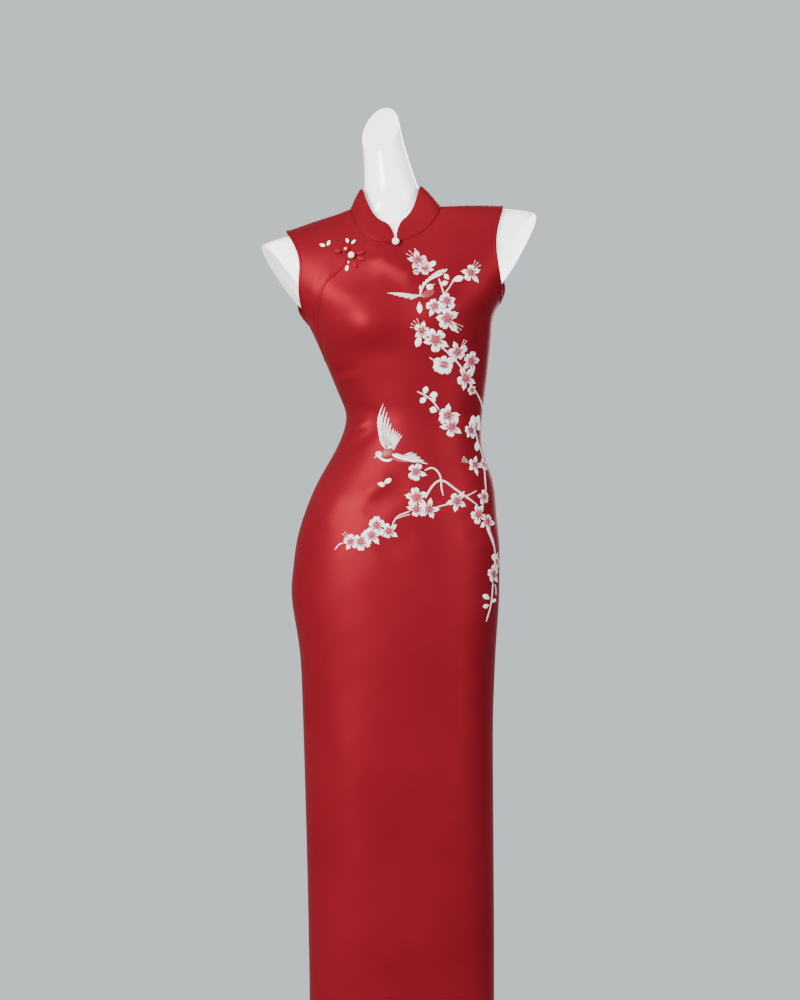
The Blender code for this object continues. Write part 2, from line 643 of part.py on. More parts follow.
def build_form():
    """The torso from the hips to the neck, closed, with flat cut shoulders and a slanting neck cut."""
    turns = np.arange(FORM_SIDES) / FORM_SIDES * 2 * math.pi
    stretches = [np.linspace(low, high, steps, endpoint=False)
                 for (low, steps), (high, _) in zip(FORM_ROWS, FORM_ROWS[1:])]
    rows = np.concatenate([*stretches, [FORM_TOP]])
    foot = np.clip(1 - (rows - FORM_FOOT) / FOOT_ROUND, 0, 1) ** 2
    pinches = sum(amount * np.exp(-((rows - w) / reach) ** 2) for w, amount, reach in PINCHES)
    shrink = 1 - FOOT_SHRINK * foot - pinches
    bm = bmesh.new()
    rings = []
    for w, scale in zip(rows, shrink):
        power = float(size("square", w))
        bend = np.sign(np.sin(turns)) * np.abs(np.sin(turns)) ** (2 / power)
        middle = float(size("middle", w))
        reach = np.where(bend < 0, middle - size("left", w), size("right", w) - middle) * bend
        points = on_figure(middle + reach, w, np.cos(turns) > 0)
        centre = np.array([middle, float(size("side_y", w)), w])
        points[:, :2] = centre[:2] + (points[:, :2] - centre[:2]) * scale
        rings.append([bm.verts.new(point) for point in points])
    for ring, after in zip(rings, rings[1:]):
        for i in range(FORM_SIDES):
            j = (i + 1) % FORM_SIDES
            bm.faces.new((ring[i], ring[j], after[j], after[i]))
    bm.faces.new(rings[0])
    bm.faces.new(rings[-1])
    form = finish("form_body", bm, "white_gloss")
    cutters = [shoulder_cutter(f"shoulder_cutter_{i}", *cut) for i, cut in enumerate(SHOULDER_CUTS)]
    for block in [*cutters, neck_cutter()]:
        cut = form.modifiers.new(block.name, "BOOLEAN")
        cut.operation = "DIFFERENCE"
        cut.object = block
    return form


def turned(name, profile, colour, sides=32, centre=(0.0, 0.0)):
    """A solid turned about an upright axis: its profile runs from the axis, out and up, back to the axis."""
    bm = bmesh.new()
    verts = [bm.verts.new((radius, 0, height)) for radius, height in profile]
    edges = [bm.edges.new(pair) for pair in zip(verts, verts[1:])]
    bmesh.ops.spin(bm, geom=verts + edges, axis=(0, 0, 1), cent=(0, 0, 0), steps=sides, angle=2 * math.pi)
    bmesh.ops.remove_doubles(bm, verts=bm.verts, dist=0.00001)
    bmesh.ops.translate(bm, vec=(*centre, 0), verts=bm.verts)
    return finish(name, bm, colour)


def build_stand():
    bevel = 0.003
    socket_low = FORM_FOOT - GAP - SOCKET_HEIGHT
    boss_low = BASE_HEIGHT + GAP
    boss_high = boss_low + BOSS_HEIGHT
    turned("stand_base", ((0, 0), (BASE_RADIUS, 0), (BASE_RADIUS, BASE_HEIGHT - bevel),
                          (BASE_RADIUS - bevel, BASE_HEIGHT), (0, BASE_HEIGHT)), "steel", 48)
    turned("stand_boss", ((0, boss_low), (BOSS_RADIUS, boss_low), (BOSS_RADIUS, boss_low + bevel),
                          (POLE_RADIUS + bevel, boss_high), (0, boss_high)), "steel")
    turned("stand_pole", ((0, boss_high + GAP), (POLE_RADIUS, boss_high + GAP),
                          (POLE_RADIUS, socket_low - GAP), (0, socket_low - GAP)), "steel", 24)
    turned("form_socket", ((0, socket_low), (SOCKET_RADIUS - bevel, socket_low),
                           (SOCKET_RADIUS, socket_low + bevel),
                           (SOCKET_RADIUS, FORM_FOOT - GAP), (0, FORM_FOOT - GAP)), "steel", 24)


def main():
    for obj in list(bpy.data.objects):
        bpy.data.objects.remove(obj, do_unlink=True)
    grid = front_grid()
    front = cloth_wall("front_panel", grid, True, OUTER_PLY)
    underlap = cloth_wall("front_underlap", underlap_grid(grid), True, UNDER_PLY)
    back = cloth_wall("back_panel", back_grid(), False, OUTER_PLY)
    build_collar(front, underlap, back)
    build_binding("left", underlap, len(underlap) - SEAM_ROWS + 1, back)
    build_binding("right", front, ARMHOLE_ROWS, back)
    build_collar_pearl()
    build_knot()
    build_form()
    build_stand()


main()
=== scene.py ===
import math

import bmesh
import bpy
import numpy as np
from mathutils import Matrix, Vector

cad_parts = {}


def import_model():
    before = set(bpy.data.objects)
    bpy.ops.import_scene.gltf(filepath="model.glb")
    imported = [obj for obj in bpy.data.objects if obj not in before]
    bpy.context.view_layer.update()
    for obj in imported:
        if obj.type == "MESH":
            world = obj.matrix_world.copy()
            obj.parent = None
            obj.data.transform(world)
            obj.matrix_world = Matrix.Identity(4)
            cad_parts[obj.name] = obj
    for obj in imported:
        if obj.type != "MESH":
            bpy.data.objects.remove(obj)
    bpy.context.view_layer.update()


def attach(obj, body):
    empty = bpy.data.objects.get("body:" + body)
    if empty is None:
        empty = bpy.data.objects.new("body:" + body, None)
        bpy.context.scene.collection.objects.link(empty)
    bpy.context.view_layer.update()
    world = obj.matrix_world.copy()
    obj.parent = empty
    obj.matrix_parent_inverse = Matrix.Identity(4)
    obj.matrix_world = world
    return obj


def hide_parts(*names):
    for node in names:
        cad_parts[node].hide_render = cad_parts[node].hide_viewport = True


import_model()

# ---------------------------------------------------------------- sizes, as in the part's own source

CLOTH = 0.001
GAP = 0.0003
EASE = 0.0026
UNDER_PLY = EASE + CLOTH
OUTER_PLY = UNDER_PLY + GAP + CLOTH

HEM, SLIT_TOP, OVERLAP_FOOT, UNDERARM, SHOULDER_TIP = 0.10, 0.655, 1.214, 1.284, 1.4345
NECK_LEFT, NECK_RIGHT, NECK_FRONT, NECK_BACK, NECK_X = 1.4596, 1.446, 1.3895, 1.440, -0.0048
SLIT_SPREAD = 0.03
TILT, TILT_X, TILT_FROM, TILT_TO = 0.116, -0.005, 1.10, 1.30
CUP_X, CUP_HEIGHT, CUP_DEPTH, CUP_WIDTH = 0.068, 1.262, 0.010, 0.042

COLLAR_CENTRE = (-0.0125, 0.0085)
COLLAR_HALF = (0.0515, 0.0625)
COLLAR_RISE, COLLAR_ROUND, COLLAR_END, COLLAR_PARTING = 0.034, 0.024, 0.15, 0.0014
COLLAR_THICKNESS = 0.0021

FORM_FOOT, FORM_TOP = 0.70, 1.68
FOOT_SHRINK, FOOT_ROUND = 0.10, 0.03
PINCHES = ((1.294, 0.06, 0.03), (1.450, 0.14, 0.024))
SHOULDER_CUTS = ((-0.1850, 1.357, 0.62, 0.20), (0.1845, 1.355, 0.60, 0.25))
CUT_LEDGE = 1.262
NECK_CUT = (-0.0629, 1.5617, 0.658, 1.16)
CUT_BLOCK = 0.3

# Level height, left, right and middle x, y of the side, depth of the front and of the back, squareness
SECTIONS = np.array([
    (0.060, -0.1422, 0.1526, 0.0050, 0.004, 0.084, 0.086, 2.3),
    (0.310, -0.1460, 0.1526, 0.0033, 0.004, 0.088, 0.090, 2.3),
    (0.561, -0.1526, 0.1510, -0.0008, 0.004, 0.096, 0.102, 2.3),
    (0.660, -0.1559, 0.1526, -0.0016, 0.004, 0.100, 0.110, 2.3),
    (0.734, -0.1609, 0.1559, -0.0025, 0.004, 0.103, 0.117, 2.25),
    (0.808, -0.1724, 0.1609, -0.0058, 0.004, 0.106, 0.124, 2.2),
    (0.858, -0.1708, 0.1617, -0.0045, 0.004, 0.107, 0.123, 2.2),
    (0.907, -0.1642, 0.1609, -0.0017, 0.004, 0.106, 0.114, 2.2),
    (0.957, -0.1493, 0.1559, 0.0033, 0.004, 0.103, 0.100, 2.2),
    (1.006, -0.1279, 0.1510, 0.0116, 0.004, 0.097, 0.087, 2.15),
    (1.056, -0.0998, 0.1345, 0.0173, 0.004, 0.089, 0.077, 2.1),
    (1.105, -0.0833, 0.1328, 0.0247, 0.004, 0.084, 0.076, 2.1),
    (1.140, -0.0910, 0.1370, 0.0230, 0.004, 0.087, 0.080, 2.1),
    (1.180, -0.1064, 0.1427, 0.0181, 0.005, 0.094, 0.087, 2.15),
    (1.229, -0.1246, 0.1485, 0.0119, 0.006, 0.104, 0.095, 2.25),
    (1.262, -0.1378, 0.1530, 0.0076, 0.007, 0.108, 0.099, 2.35),
    (1.284, -0.1480, 0.1660, 0.0050, 0.008, 0.107, 0.101, 2.4),
    (1.300, -0.1600, 0.1770, 0.0030, 0.009, 0.105, 0.101, 2.4),
    (1.320, -0.1800, 0.1920, 0.0010, 0.010, 0.101, 0.100, 2.4),
    (1.354, -0.2120, 0.2220, -0.0020, 0.012, 0.092, 0.095, 2.4),
    (1.390, -0.2340, 0.2380, -0.0050, 0.014, 0.080, 0.086, 2.4),
    (1.414, -0.2360, 0.2350, -0.0056, 0.015, 0.068, 0.073, 2.35),
    (1.426, -0.2250, 0.2160, -0.0060, 0.015, 0.060, 0.064, 2.3),
    (1.4345, -0.1850, 0.1720, -0.0062, 0.015, 0.054, 0.057, 2.25),
    (1.440, -0.1600, 0.1250, -0.0065, 0.015, 0.050, 0.053, 2.2),
    (1.446, -0.1340, 0.0680, -0.0070, 0.015, 0.048, 0.051, 2.1),
    (1.4596, -0.0776, 0.0490, -0.0095, 0.014, 0.047, 0.049, 2.05),
    (1.486, -0.0580, 0.0325, -0.0127, 0.011, 0.045, 0.047, 2.0),
    (1.540, -0.0580, 0.0140, -0.0220, 0.006, 0.040, 0.042, 2.0),
    (1.592, -0.0620, 0.0010, -0.0305, 0.002, 0.036, 0.038, 2.0),
    (1.700, -0.0670, -0.0200, -0.0435, -0.004, 0.032, 0.034, 2.0),
])
COLUMN = {name: i for i, name in enumerate(
    ("height", "left", "right", "middle", "side_y", "front", "back", "square"))}

OVERLAP_EDGE = ((-0.1290, 1.262), (-0.1285, 1.300), (-0.1200, 1.335), (-0.1030, 1.351),
                (-0.0790, 1.3725), (-0.0550, 1.3830), (-0.0280, 1.3870))
ARMHOLES = {
    ("left", "front"): ((-0.1575, 1.312), (-0.1610, 1.345), (-0.1625, 1.387)),
    ("right", "front"): ((0.1630, 1.312), (0.1575, 1.3525), (0.1590, 1.392)),
    ("left", "back"): ((-0.1650, 1.312), (-0.1680, 1.350), (-0.1710, 1.390)),
    ("right", "back"): ((0.1740, 1.312), (0.1700, 1.350), (0.1680, 1.390)),
}
SEAM_SHARE, SEAM_ROWS, ARMHOLE_ROWS = 0.3, 3, 13
FRONT_TOP, UNDERLAP_TOP, BACK_TOP = (5, 8, 5), (5, 6), (6, 4)
SKIRT_ROWS = (7, 16)
OVERLAP_BEND = 0.57
FINER = 6

MM = 0.001
SEAM_LAP = 0.05 * MM
COARSE_ROUNDS, FINE_ROUNDS = 400, 120

# Creases in millimetres: ends as x and level height, half width, rise (below zero a trough)
CREASE_RISE, DEEPEST, DRAWN_IN = 2.3, 3.0 * MM, 0.6 * MM
FRONT_CREASES = MM * np.array([
    (-46, 1380, 38, 1318, 16, 2.6),
    (-110, 1350, -36, 1326, 19, -1.5),
    (-62, 1384, -30, 1372, 8, -0.9),
    (30, 1345, 75, 1300, 18, -1.2),
    (-95, 1218, 20, 1214, 20, -1),
    (-112, 1183, -70, 1193, 6, -1.3),
    (-104, 1172, -60, 1180, 8, 0.8),
    (140, 1268, 126, 1215, 8, -1),
    (-90, 1070, -48, 1100, 9, 2.2),
    (-88, 1052, -30, 1092, 9, -1.3),
    (-70, 1125, -30, 1112, 9, -0.8),
    (118, 1115, 80, 1105, 10, -0.8),
    (-52, 950, 14, 1006, 17, -1.6),
    (-55, 975, -10, 1008, 14, 1.1),
    (-30, 890, 20, 925, 20, -1.5),
    (-125, 930, -90, 990, 16, 1),
    (135, 905, 105, 955, 18, -1),
    (-152, 700, -140, 610, 7, -1.1),
    (-80, 640, -60, 320, 30, 1.2),
    (70, 560, 62, 200, 32, 1.2),
])
BACK_CREASES = MM * np.array([
    (-58, 1165, -54, 1030, 4, -1.2),
    (92, 1165, 86, 1030, 4, -1.2),
    (-60, 1120, 0, 1098, 10, 2),
    (110, 1125, 45, 1092, 10, 1.8),
    (-64, 1085, 10, 1068, 10, -1.4),
    (112, 1080, 40, 1060, 11, -1.3),
    (-20, 1110, 60, 1118, 8, 1.2),
    (-125, 1330, -60, 1290, 18, 1.8),
    (130, 1330, 70, 1285, 18, 1.8),
    (-90, 780, 70, 745, 22, -1.6),
    (-60, 720, 50, 705, 22, 1.2),
    (-50, 600, -40, 260, 30, 1.4),
    (55, 640, 60, 300, 30, 1.4),
])


def spline(values, steps):
    values = np.asarray(values, float)
    count = len(values)
    matrix = np.eye(count)
    target = np.zeros_like(values)
    for i in range(1, count - 1):
        matrix[i, i - 1:i + 2] = (1, 4, 1)
        target[i] = 6 * (values[i - 1] - 2 * values[i] + values[i + 1])
    bend = np.linalg.solve(matrix, target)
    along = np.linspace(0, count - 1, (count - 1) * steps + 1)
    i = np.minimum(along.astype(int), count - 2)
    t = (along - i)[:, None]
    return ((1 - t) * values[i] + t * values[i + 1]
            + ((1 - t) ** 3 - (1 - t)) * bend[i] / 6 + (t ** 3 - t) * bend[i + 1] / 6)


FINE = spline(SECTIONS, 60)


def size(name, w):
    return np.interp(w, FINE[:, 0], FINE[:, COLUMN[name]])


def smooth_step(t):
    t = np.clip(t, 0, 1)
    return t * t * (3 - 2 * t)


def tilt(w):
    return TILT * smooth_step((w - TILT_FROM) / (TILT_TO - TILT_FROM))


def level(x, z):
    w = np.array(z, float)
    for _ in range(8):
        w = z - tilt(w) * (x - TILT_X)
    return w


def half_width(x, w):
    middle = size("middle", w)
    return np.where(x < middle, middle - size("left", w), size("right", w) - middle)


def depth(x, w, front):
    across = x - size("middle", w)
    cups = sum(np.exp(-((across - side * CUP_X) / CUP_WIDTH) ** 2) for side in (-1, 1))
    bust = CUP_DEPTH * cups * np.exp(-((w - CUP_HEIGHT) / CUP_WIDTH) ** 2)
    return np.where(front, size("front", w) + bust, size("back", w))


def on_figure(x, w, front=True):
    x, w = np.broadcast_arrays(np.asarray(x, float), np.asarray(w, float))
    power = size("square", w)
    across = np.clip(np.abs(x - size("middle", w)) / half_width(x, w), 0, 1)
    reach = depth(x, w, front) * (1 - across ** power) ** (1 / power)
    y = size("side_y", w) + np.where(front, -reach, reach)
    return np.stack([x, y, w + tilt(w) * (x - TILT_X)], axis=-1)


def field(p):
    x, y, z = p[..., 0], p[..., 1], p[..., 2]
    w = level(x, z)
    power = size("square", w)
    deep = y - size("side_y", w)
    across = np.abs(x - size("middle", w)) / half_width(x, w)
    return across ** power + (np.abs(deep) / depth(x, w, deep < 0)) ** power - 1


def normal(p):
    step = 0.0004
    out = np.stack([field(p + step * axis) - field(p - step * axis) for axis in np.eye(3)], axis=-1)
    return out / np.linalg.norm(out, axis=-1, keepdims=True)


def creased(x, w, table):
    """The rise of one table's creases: each is a soft bar that fades out at both ends."""
    rise = np.zeros(np.shape(x))
    for x0, w0, x1, w1, width, height in table:
        run = np.array([x1 - x0, w1 - w0])
        along = ((x - x0) * run[0] + (w - w0) * run[1]) / (run ** 2).sum()
        near = np.clip(along, 0, 1)
        off = np.hypot(x - x0 - near * run[0], w - w0 - near * run[1])
        fade = smooth_step(1.55 - 2.5 * np.abs(along - 0.5))
        rise += CREASE_RISE * height * np.exp(-(off / width) ** 2) * fade
    return np.where(rise < 0, DEEPEST * np.tanh(rise / DEEPEST), rise)


def unevenness(x, w, phase):
    """The slight ripple of satin that hangs free: long waves of a few tenths of a millimetre."""
    return (0.00030 * np.sin(31 * x + 17 * w + phase) * np.sin(23 * w - 9 * x + 2 * phase)
            + 0.00016 * np.sin(74 * x - 41 * w + 3 * phase) * np.sin(57 * w + 1.3 + phase))


def lifted(x, w, table, phase):
    """Creases and ripples, fading out at the side seams, where the cloth is drawn in a little."""
    off = np.minimum(x - size("left", w), size("right", w) - x)
    rise = creased(x, w, table) + unevenness(x, w, phase)
    return rise * smooth_step(off / 0.022) - DRAWN_IN * np.exp(-(off / 0.004) ** 2)


def front_lift(x, w):
    return lifted(x, w, FRONT_CREASES, 0.4)


def back_lift(x, w):
    return lifted(x, w, BACK_CREASES, 2.1)


def turned_x(turn, w):
    turn, w = np.broadcast_arrays(turn, w)
    bend = np.abs(np.sin(turn * math.pi / 2)) ** (2 / size("square", w))
    side = np.where(turn < 0, size("left", w), size("right", w))
    return size("middle", w) + (side - size("middle", w)) * bend


# ---------------------------------------------------------------- the pieces' edges

def curve_at(points, t):
    fine = spline(points, 30)
    run = np.concatenate([[0], np.cumsum(np.linalg.norm(np.diff(fine, axis=0), axis=1))])
    return np.stack([np.interp(t * run[-1], run, fine[:, i]) for i in (0, 1)], axis=-1)


def side_x(side, w):
    return float(size(side, w))


def armhole(side, face, t):
    points = [(side_x(side, UNDERARM), UNDERARM), *ARMHOLES[side, face],
              (side_x(side, SHOULDER_TIP), SHOULDER_TIP)]
    edge = curve_at(points, (1 - np.cos(np.pi * t)) / 2)
    edge[t <= 0] = points[0]
    edge[t >= 1] = points[-1]
    return edge


def side_edge(side, face, t):
    seam_w = OVERLAP_FOOT + (UNDERARM - OVERLAP_FOOT) * np.clip(t / SEAM_SHARE, 0, 1)
    seam = np.stack([size(side, seam_w), seam_w], axis=-1)
    hole = armhole(side, face, np.clip((t - SEAM_SHARE) / (1 - SEAM_SHARE), 0, 1))
    return np.where((t < SEAM_SHARE)[:, None], seam, hole)


def shoulder(side, t):
    w = SHOULDER_TIP + ({"left": NECK_LEFT, "right": NECK_RIGHT}[side] - SHOULDER_TIP) * t
    return np.stack([size(side, w), w], axis=-1)


def neckline(side, face, t):
    end_w = {"left": NECK_LEFT, "right": NECK_RIGHT}[side]
    low_w = {"front": NECK_FRONT, "back": NECK_BACK}[face]
    end_x = side_x(side, end_w)
    angle = t * math.pi / 2
    return np.stack([NECK_X + (end_x - NECK_X) * np.sin(angle),
                     end_w - (end_w - low_w) * np.cos(angle)], axis=-1)


def overlap_edge(t):
    foot = (side_x("left", OVERLAP_FOOT), OVERLAP_FOOT)
    return curve_at([foot, *OVERLAP_EDGE, (NECK_X, NECK_FRONT)], t)


def joined(*stretches):
    return np.concatenate([stretches[0], *(stretch[1:] for stretch in stretches[1:])])


def steps(count):
    return np.linspace(0, 1, count + 1)


def around(count):
    return np.arange(count) / count * 2 * math.pi


def rows_up(armhole_rows, finer=1):
    seam = np.linspace(0, SEAM_SHARE, SEAM_ROWS * finer, endpoint=False)
    hole = np.sin(steps((armhole_rows - 1) * finer) * math.pi / 2)
    return np.concatenate([seam, SEAM_SHARE + (1 - SEAM_SHARE) * hole])


def even_out(grid, s, t, rounds):
    """Moves the inner points so that no cell folds over; the edges stay."""
    step = s[1] - s[0]
    t_ = t[:, None, None]
    below, above = t_[1:-1] - t_[:-2], t_[2:] - t_[1:-1]
    for _ in range(rounds):
        west, east = grid[1:-1, :-2], grid[1:-1, 2:]
        south, north = grid[:-2, 1:-1], grid[2:, 1:-1]
        across, up = (east - west) / (2 * step), (north - south) / (below + above)
        along = (up ** 2).sum(-1, keepdims=True) / step ** 2
        upward = (across ** 2).sum(-1, keepdims=True) / (below * above)
        skew = (across * up).sum(-1, keepdims=True) / (step * (below + above))
        twist = grid[2:, 2:] - grid[2:, :-2] - grid[:-2, 2:] + grid[:-2, :-2]
        grid[1:-1, 1:-1] = (along * (east + west) - skew * twist
                            + 2 * upward * (below * north + above * south) / (below + above)
                            ) / (2 * (along + upward))
    return grid


def patch(edges):
    """The grid between bottom, top, left and right edges, each a function of how much finer it is."""
    def between(bottom, top, left, right, s, t):
        s_, t_ = s[None, :, None], t[:, None, None]
        corners = ((1 - t_) * ((1 - s_) * bottom[0] + s_ * bottom[-1])
                   + t_ * ((1 - s_) * top[0] + s_ * top[-1]))
        return ((1 - t_) * bottom[None] + t_ * top[None]
                + (1 - s_) * left[:, None] + s_ * right[:, None] - corners)

    coarse = edges(1)
    grid = even_out(between(*coarse), coarse[4], coarse[5], COARSE_ROUNDS)
    bottom, top, left, right, s, t = edges(FINER)
    rows, columns = np.arange(len(t)) / FINER, np.arange(len(s)) / FINER
    r = np.minimum(rows.astype(int), grid.shape[0] - 2)
    c = np.minimum(columns.astype(int), grid.shape[1] - 2)
    fr, fc = (rows - r)[:, None, None], (columns - c)[None, :, None]
    fine = ((1 - fr) * ((1 - fc) * grid[r][:, c] + fc * grid[r][:, c + 1])
            + fr * ((1 - fc) * grid[r + 1][:, c] + fc * grid[r + 1][:, c + 1]))
    fine[0], fine[-1], fine[:, 0], fine[:, -1] = bottom, top, left, right
    return even_out(fine, s, t, FINE_ROUNDS)


def skirt_grid(columns, finer):
    below, above = (count * finer + 1 for count in SKIRT_ROWS)
    rows = joined(np.linspace(HEM, SLIT_TOP, below), np.linspace(SLIT_TOP, OVERLAP_FOOT, above))
    turn = np.linspace(-1, 1, columns)
    spread = SLIT_SPREAD * smooth_step((SLIT_TOP - rows) / (SLIT_TOP - HEM))
    turns = turn[None, :] * (1 - spread[:, None])
    return np.stack([turned_x(turns, rows[:, None]), np.broadcast_to(rows[:, None], turns.shape)], axis=-1)


def panel(edges):
    """A whole front or back: the skirt's rows and, above the overlap's foot, a patch between these edges."""
    bodice = patch(edges)
    return np.concatenate([skirt_grid(bodice.shape[1], FINER), bodice[1:]])


def front_grid():
    def edges(k):
        over, neck, seam = (k * n for n in FRONT_TOP)
        top = joined(overlap_edge(OVERLAP_BEND + (1 - OVERLAP_BEND) * steps(over)),
                     neckline("right", "front", steps(neck)), shoulder("right", steps(seam))[::-1])
        t = rows_up(ARMHOLE_ROWS, k)
        bottom = skirt_grid(len(top), 1)[-1]
        left, right = overlap_edge(t * OVERLAP_BEND), side_edge("right", "front", t)
        return bottom, top, left, right, steps(len(top) - 1), t

    return panel(edges)


def underlap_grid():
    """From the side seam and armhole to the overlap edge, then 12 mm on under the front."""
    first = rows_up(ARMHOLE_ROWS)[1]

    def edges(k):
        over = k * FRONT_TOP[0]
        rows = rows_up(ARMHOLE_ROWS, k)
        rows = rows[rows >= first - 1e-9]
        reach = np.concatenate([rows * OVERLAP_BEND, (OVERLAP_BEND + (1 - OVERLAP_BEND) * steps(over))[1:]])
        right = overlap_edge(reach)
        t = rows_up((len(reach) - 1) // k - SEAM_ROWS + 2, k)
        t = t[t >= first - 1e-9]
        left = side_edge("left", "front", t)
        seam, neck = (k * n for n in UNDERLAP_TOP)
        top = joined(shoulder("left", steps(seam)), neckline("left", "front", steps(neck))[::-1])
        s = steps(len(top) - 1)
        bottom = left[0] + (right[0] - left[0]) * s[:, None]
        return bottom, top, left, right, s, (t - t[0]) / (1 - t[0])

    seen = patch(edges)
    low = np.linspace(0.06, 0.94, FINER - 1) * first
    seam, open_edge = side_edge("left", "front", low)[:, None], overlap_edge(low * OVERLAP_BEND)[:, None]
    seen = np.concatenate([seam + (open_edge - seam) * steps(seen.shape[1] - 1)[None, :, None], seen])
    edge = seen[:, -1]
    along = np.gradient(edge, axis=0)
    away = np.stack([along[:, 1], -along[:, 0]], axis=-1)
    away /= np.linalg.norm(away, axis=1, keepdims=True)
    tuck = [edge + away * reach for reach in (0.004, 0.008, 0.012)]
    tuck = [np.stack([side[:, 0], np.minimum(side[:, 1], NECK_FRONT - 0.002 - 0.05 * reach)], axis=-1)
            for reach, side in enumerate(tuck)]
    return np.concatenate([seen, np.stack(tuck, axis=1)], axis=1)


def back_grid():
    def edges(k):
        seam, neck = (k * n for n in BACK_TOP)
        top = joined(shoulder("left", steps(seam)), neckline("left", "back", steps(neck))[::-1],
                     neckline("right", "back", steps(neck)), shoulder("right", steps(seam))[::-1])
        t = rows_up(ARMHOLE_ROWS, k)
        bottom = skirt_grid(len(top), 1)[-1]
        left, right = (side_edge(side, "back", t) for side in ("left", "right"))
        return bottom, top, left, right, steps(len(top) - 1), t

    return panel(edges)


# ---------------------------------------------------------------- materials

def fill(node, **values):
    """Sets a node's inputs by name, with _ for each space."""
    for name, value in values.items():
        node.inputs[name.replace("_", " ")].default_value = value


def add_node(nodes, kind, **values):
    made = nodes.new(kind)
    fill(made, **values)
    return made


def link(source, output, target, name):
    source.id_data.links.new(source.outputs[output], target.inputs[name])


def new_material(name):
    made = bpy.data.materials.new(name)
    made.use_nodes = True
    nodes = made.node_tree.nodes
    return made, nodes, nodes["Principled BSDF"]


def add_bump(nodes, height, strength, distance):
    """Ridges on the surface that follow another node's Fac."""
    bump = add_node(nodes, "ShaderNodeBump", Strength=strength, Distance=distance)
    link(height, "Fac", bump, "Height")
    link(bump, "Normal", nodes["Principled BSDF"], "Normal")


def satin(name, dark, light):
    """Red satin: soft broad sheen, a very fine weave, slightly uneven colour."""
    made, nodes, shader = new_material(name)
    place = nodes.new("ShaderNodeTexCoord")
    mottle = add_node(nodes, "ShaderNodeTexNoise", Scale=6.0, Detail=3.0)
    ramp = nodes.new("ShaderNodeValToRGB")
    for element, position, colour in zip(ramp.color_ramp.elements, (0.30, 0.72), (dark, light)):
        element.position = position
        element.color = (*colour, 1)
    squash = add_node(nodes, "ShaderNodeMapping", Scale=(1.0, 1.0, 0.25))
    weave = add_node(nodes, "ShaderNodeTexNoise", Scale=900.0, Detail=2.0)
    link(place, "Object", mottle, "Vector")
    link(mottle, "Fac", ramp, "Fac")
    link(ramp, "Color", shader, "Base Color")
    link(place, "Object", squash, "Vector")
    link(squash, "Vector", weave, "Vector")
    add_bump(nodes, weave, 0.05, 0.0003)
    fill(shader, Metallic=0.24, Roughness=0.43, IOR=1.12, Specular_IOR_Level=0.5,
         Specular_Tint=(0.62, 0.07, 0.10, 1))
    return made


def plain(name, colour, roughness, metallic=0.0, coat=0.0, ripple=0.0, painted_glow=0.0):
    """One colour; ripple is the strength of a fine unevenness; the last argument is a faint white emission,
    painted light that brightens the surface though it is no lamp.
    """
    made, nodes, shader = new_material(name)
    fill(shader, Base_Color=(*colour, 1), Roughness=roughness, Metallic=metallic, Coat_Weight=coat,
         Coat_Roughness=0.08)
    if painted_glow:
        fill(shader, Emission_Color=(1.0, 1.0, 1.0, 1), Emission_Strength=painted_glow)
    if ripple:
        place = nodes.new("ShaderNodeTexCoord")
        noise = add_node(nodes, "ShaderNodeTexNoise", Scale=220.0)
        link(place, "Object", noise, "Vector")
        add_bump(nodes, noise, ripple, 0.0004)
    return made


def thread():
    """Embroidery thread: the tint of each stitch comes from the mesh, fine ridges run along it, and the
    grooves between the ridges are darkened a little as painted sheen and shade.
    """
    made, nodes, shader = new_material("embroidery_thread")
    tint = nodes.new("ShaderNodeVertexColor")
    tint.layer_name = "tint"
    place = nodes.new("ShaderNodeUVMap")
    place.uv_map = "stitch"
    stretch = add_node(nodes, "ShaderNodeMapping", Scale=(1400.0, 90.0, 1.0))
    noise = add_node(nodes, "ShaderNodeTexNoise", Scale=1.0, Detail=1.0)
    # Painted sheen and shade: the ridge noise also scales the thread colour from 0.8 to 1, darker in the
    # grooves.
    shade = add_node(nodes, "ShaderNodeMapRange", From_Min=0.3, From_Max=0.7, To_Min=0.80, To_Max=1.0)
    mix = nodes.new("ShaderNodeVectorMath")
    mix.operation = "SCALE"
    link(place, "UV", stretch, "Vector")
    link(stretch, "Vector", noise, "Vector")
    link(noise, "Fac", shade, "Value")
    link(tint, "Color", mix, 0)
    link(shade, "Result", mix, "Scale")
    link(mix, "Vector", shader, "Base Color")
    add_bump(nodes, noise, 0.5, 0.0002)
    fill(shader, Roughness=0.5, Sheen_Weight=0.15)
    return made


SATIN = satin("red_satin", (0.128, 0.0054, 0.0102), (0.156, 0.0067, 0.0126))
THREAD = thread()
# The form's white gloss also gives a faint emission: painted light that makes it whiter than the lamps alone
# would.
GLOSS = plain("white_gloss", (0.93, 0.945, 0.935), 0.22, coat=0.5, painted_glow=0.75)
PEARL = plain("pearl", (0.93, 0.82, 0.76), 0.20, coat=0.8)
CORD = satin("satin_cord", (0.180, 0.0082, 0.0150), (0.230, 0.0100, 0.0180))
STEEL = plain("brushed_steel", (0.62, 0.62, 0.63), 0.28, metallic=1.0, ripple=0.05)


# ---------------------------------------------------------------- building pieces

def add_object(name, data):
    obj = bpy.data.objects.new(name, data)
    bpy.context.scene.collection.objects.link(obj)
    return obj


def shade(mesh, sharp):
    mesh.shade_smooth()
    if sharp:
        mesh.set_sharp_from_angle(angle=math.radians(sharp))


def finished(mesh, bm, look, sharp=80):
    """Writes bm into the mesh, with its normals outwards, and adds it to the scene."""
    bmesh.ops.recalc_face_normals(bm, faces=bm.faces)
    bm.to_mesh(mesh)
    bm.free()
    shade(mesh, sharp)
    mesh.materials.append(look)
    return add_object(mesh.name, mesh)


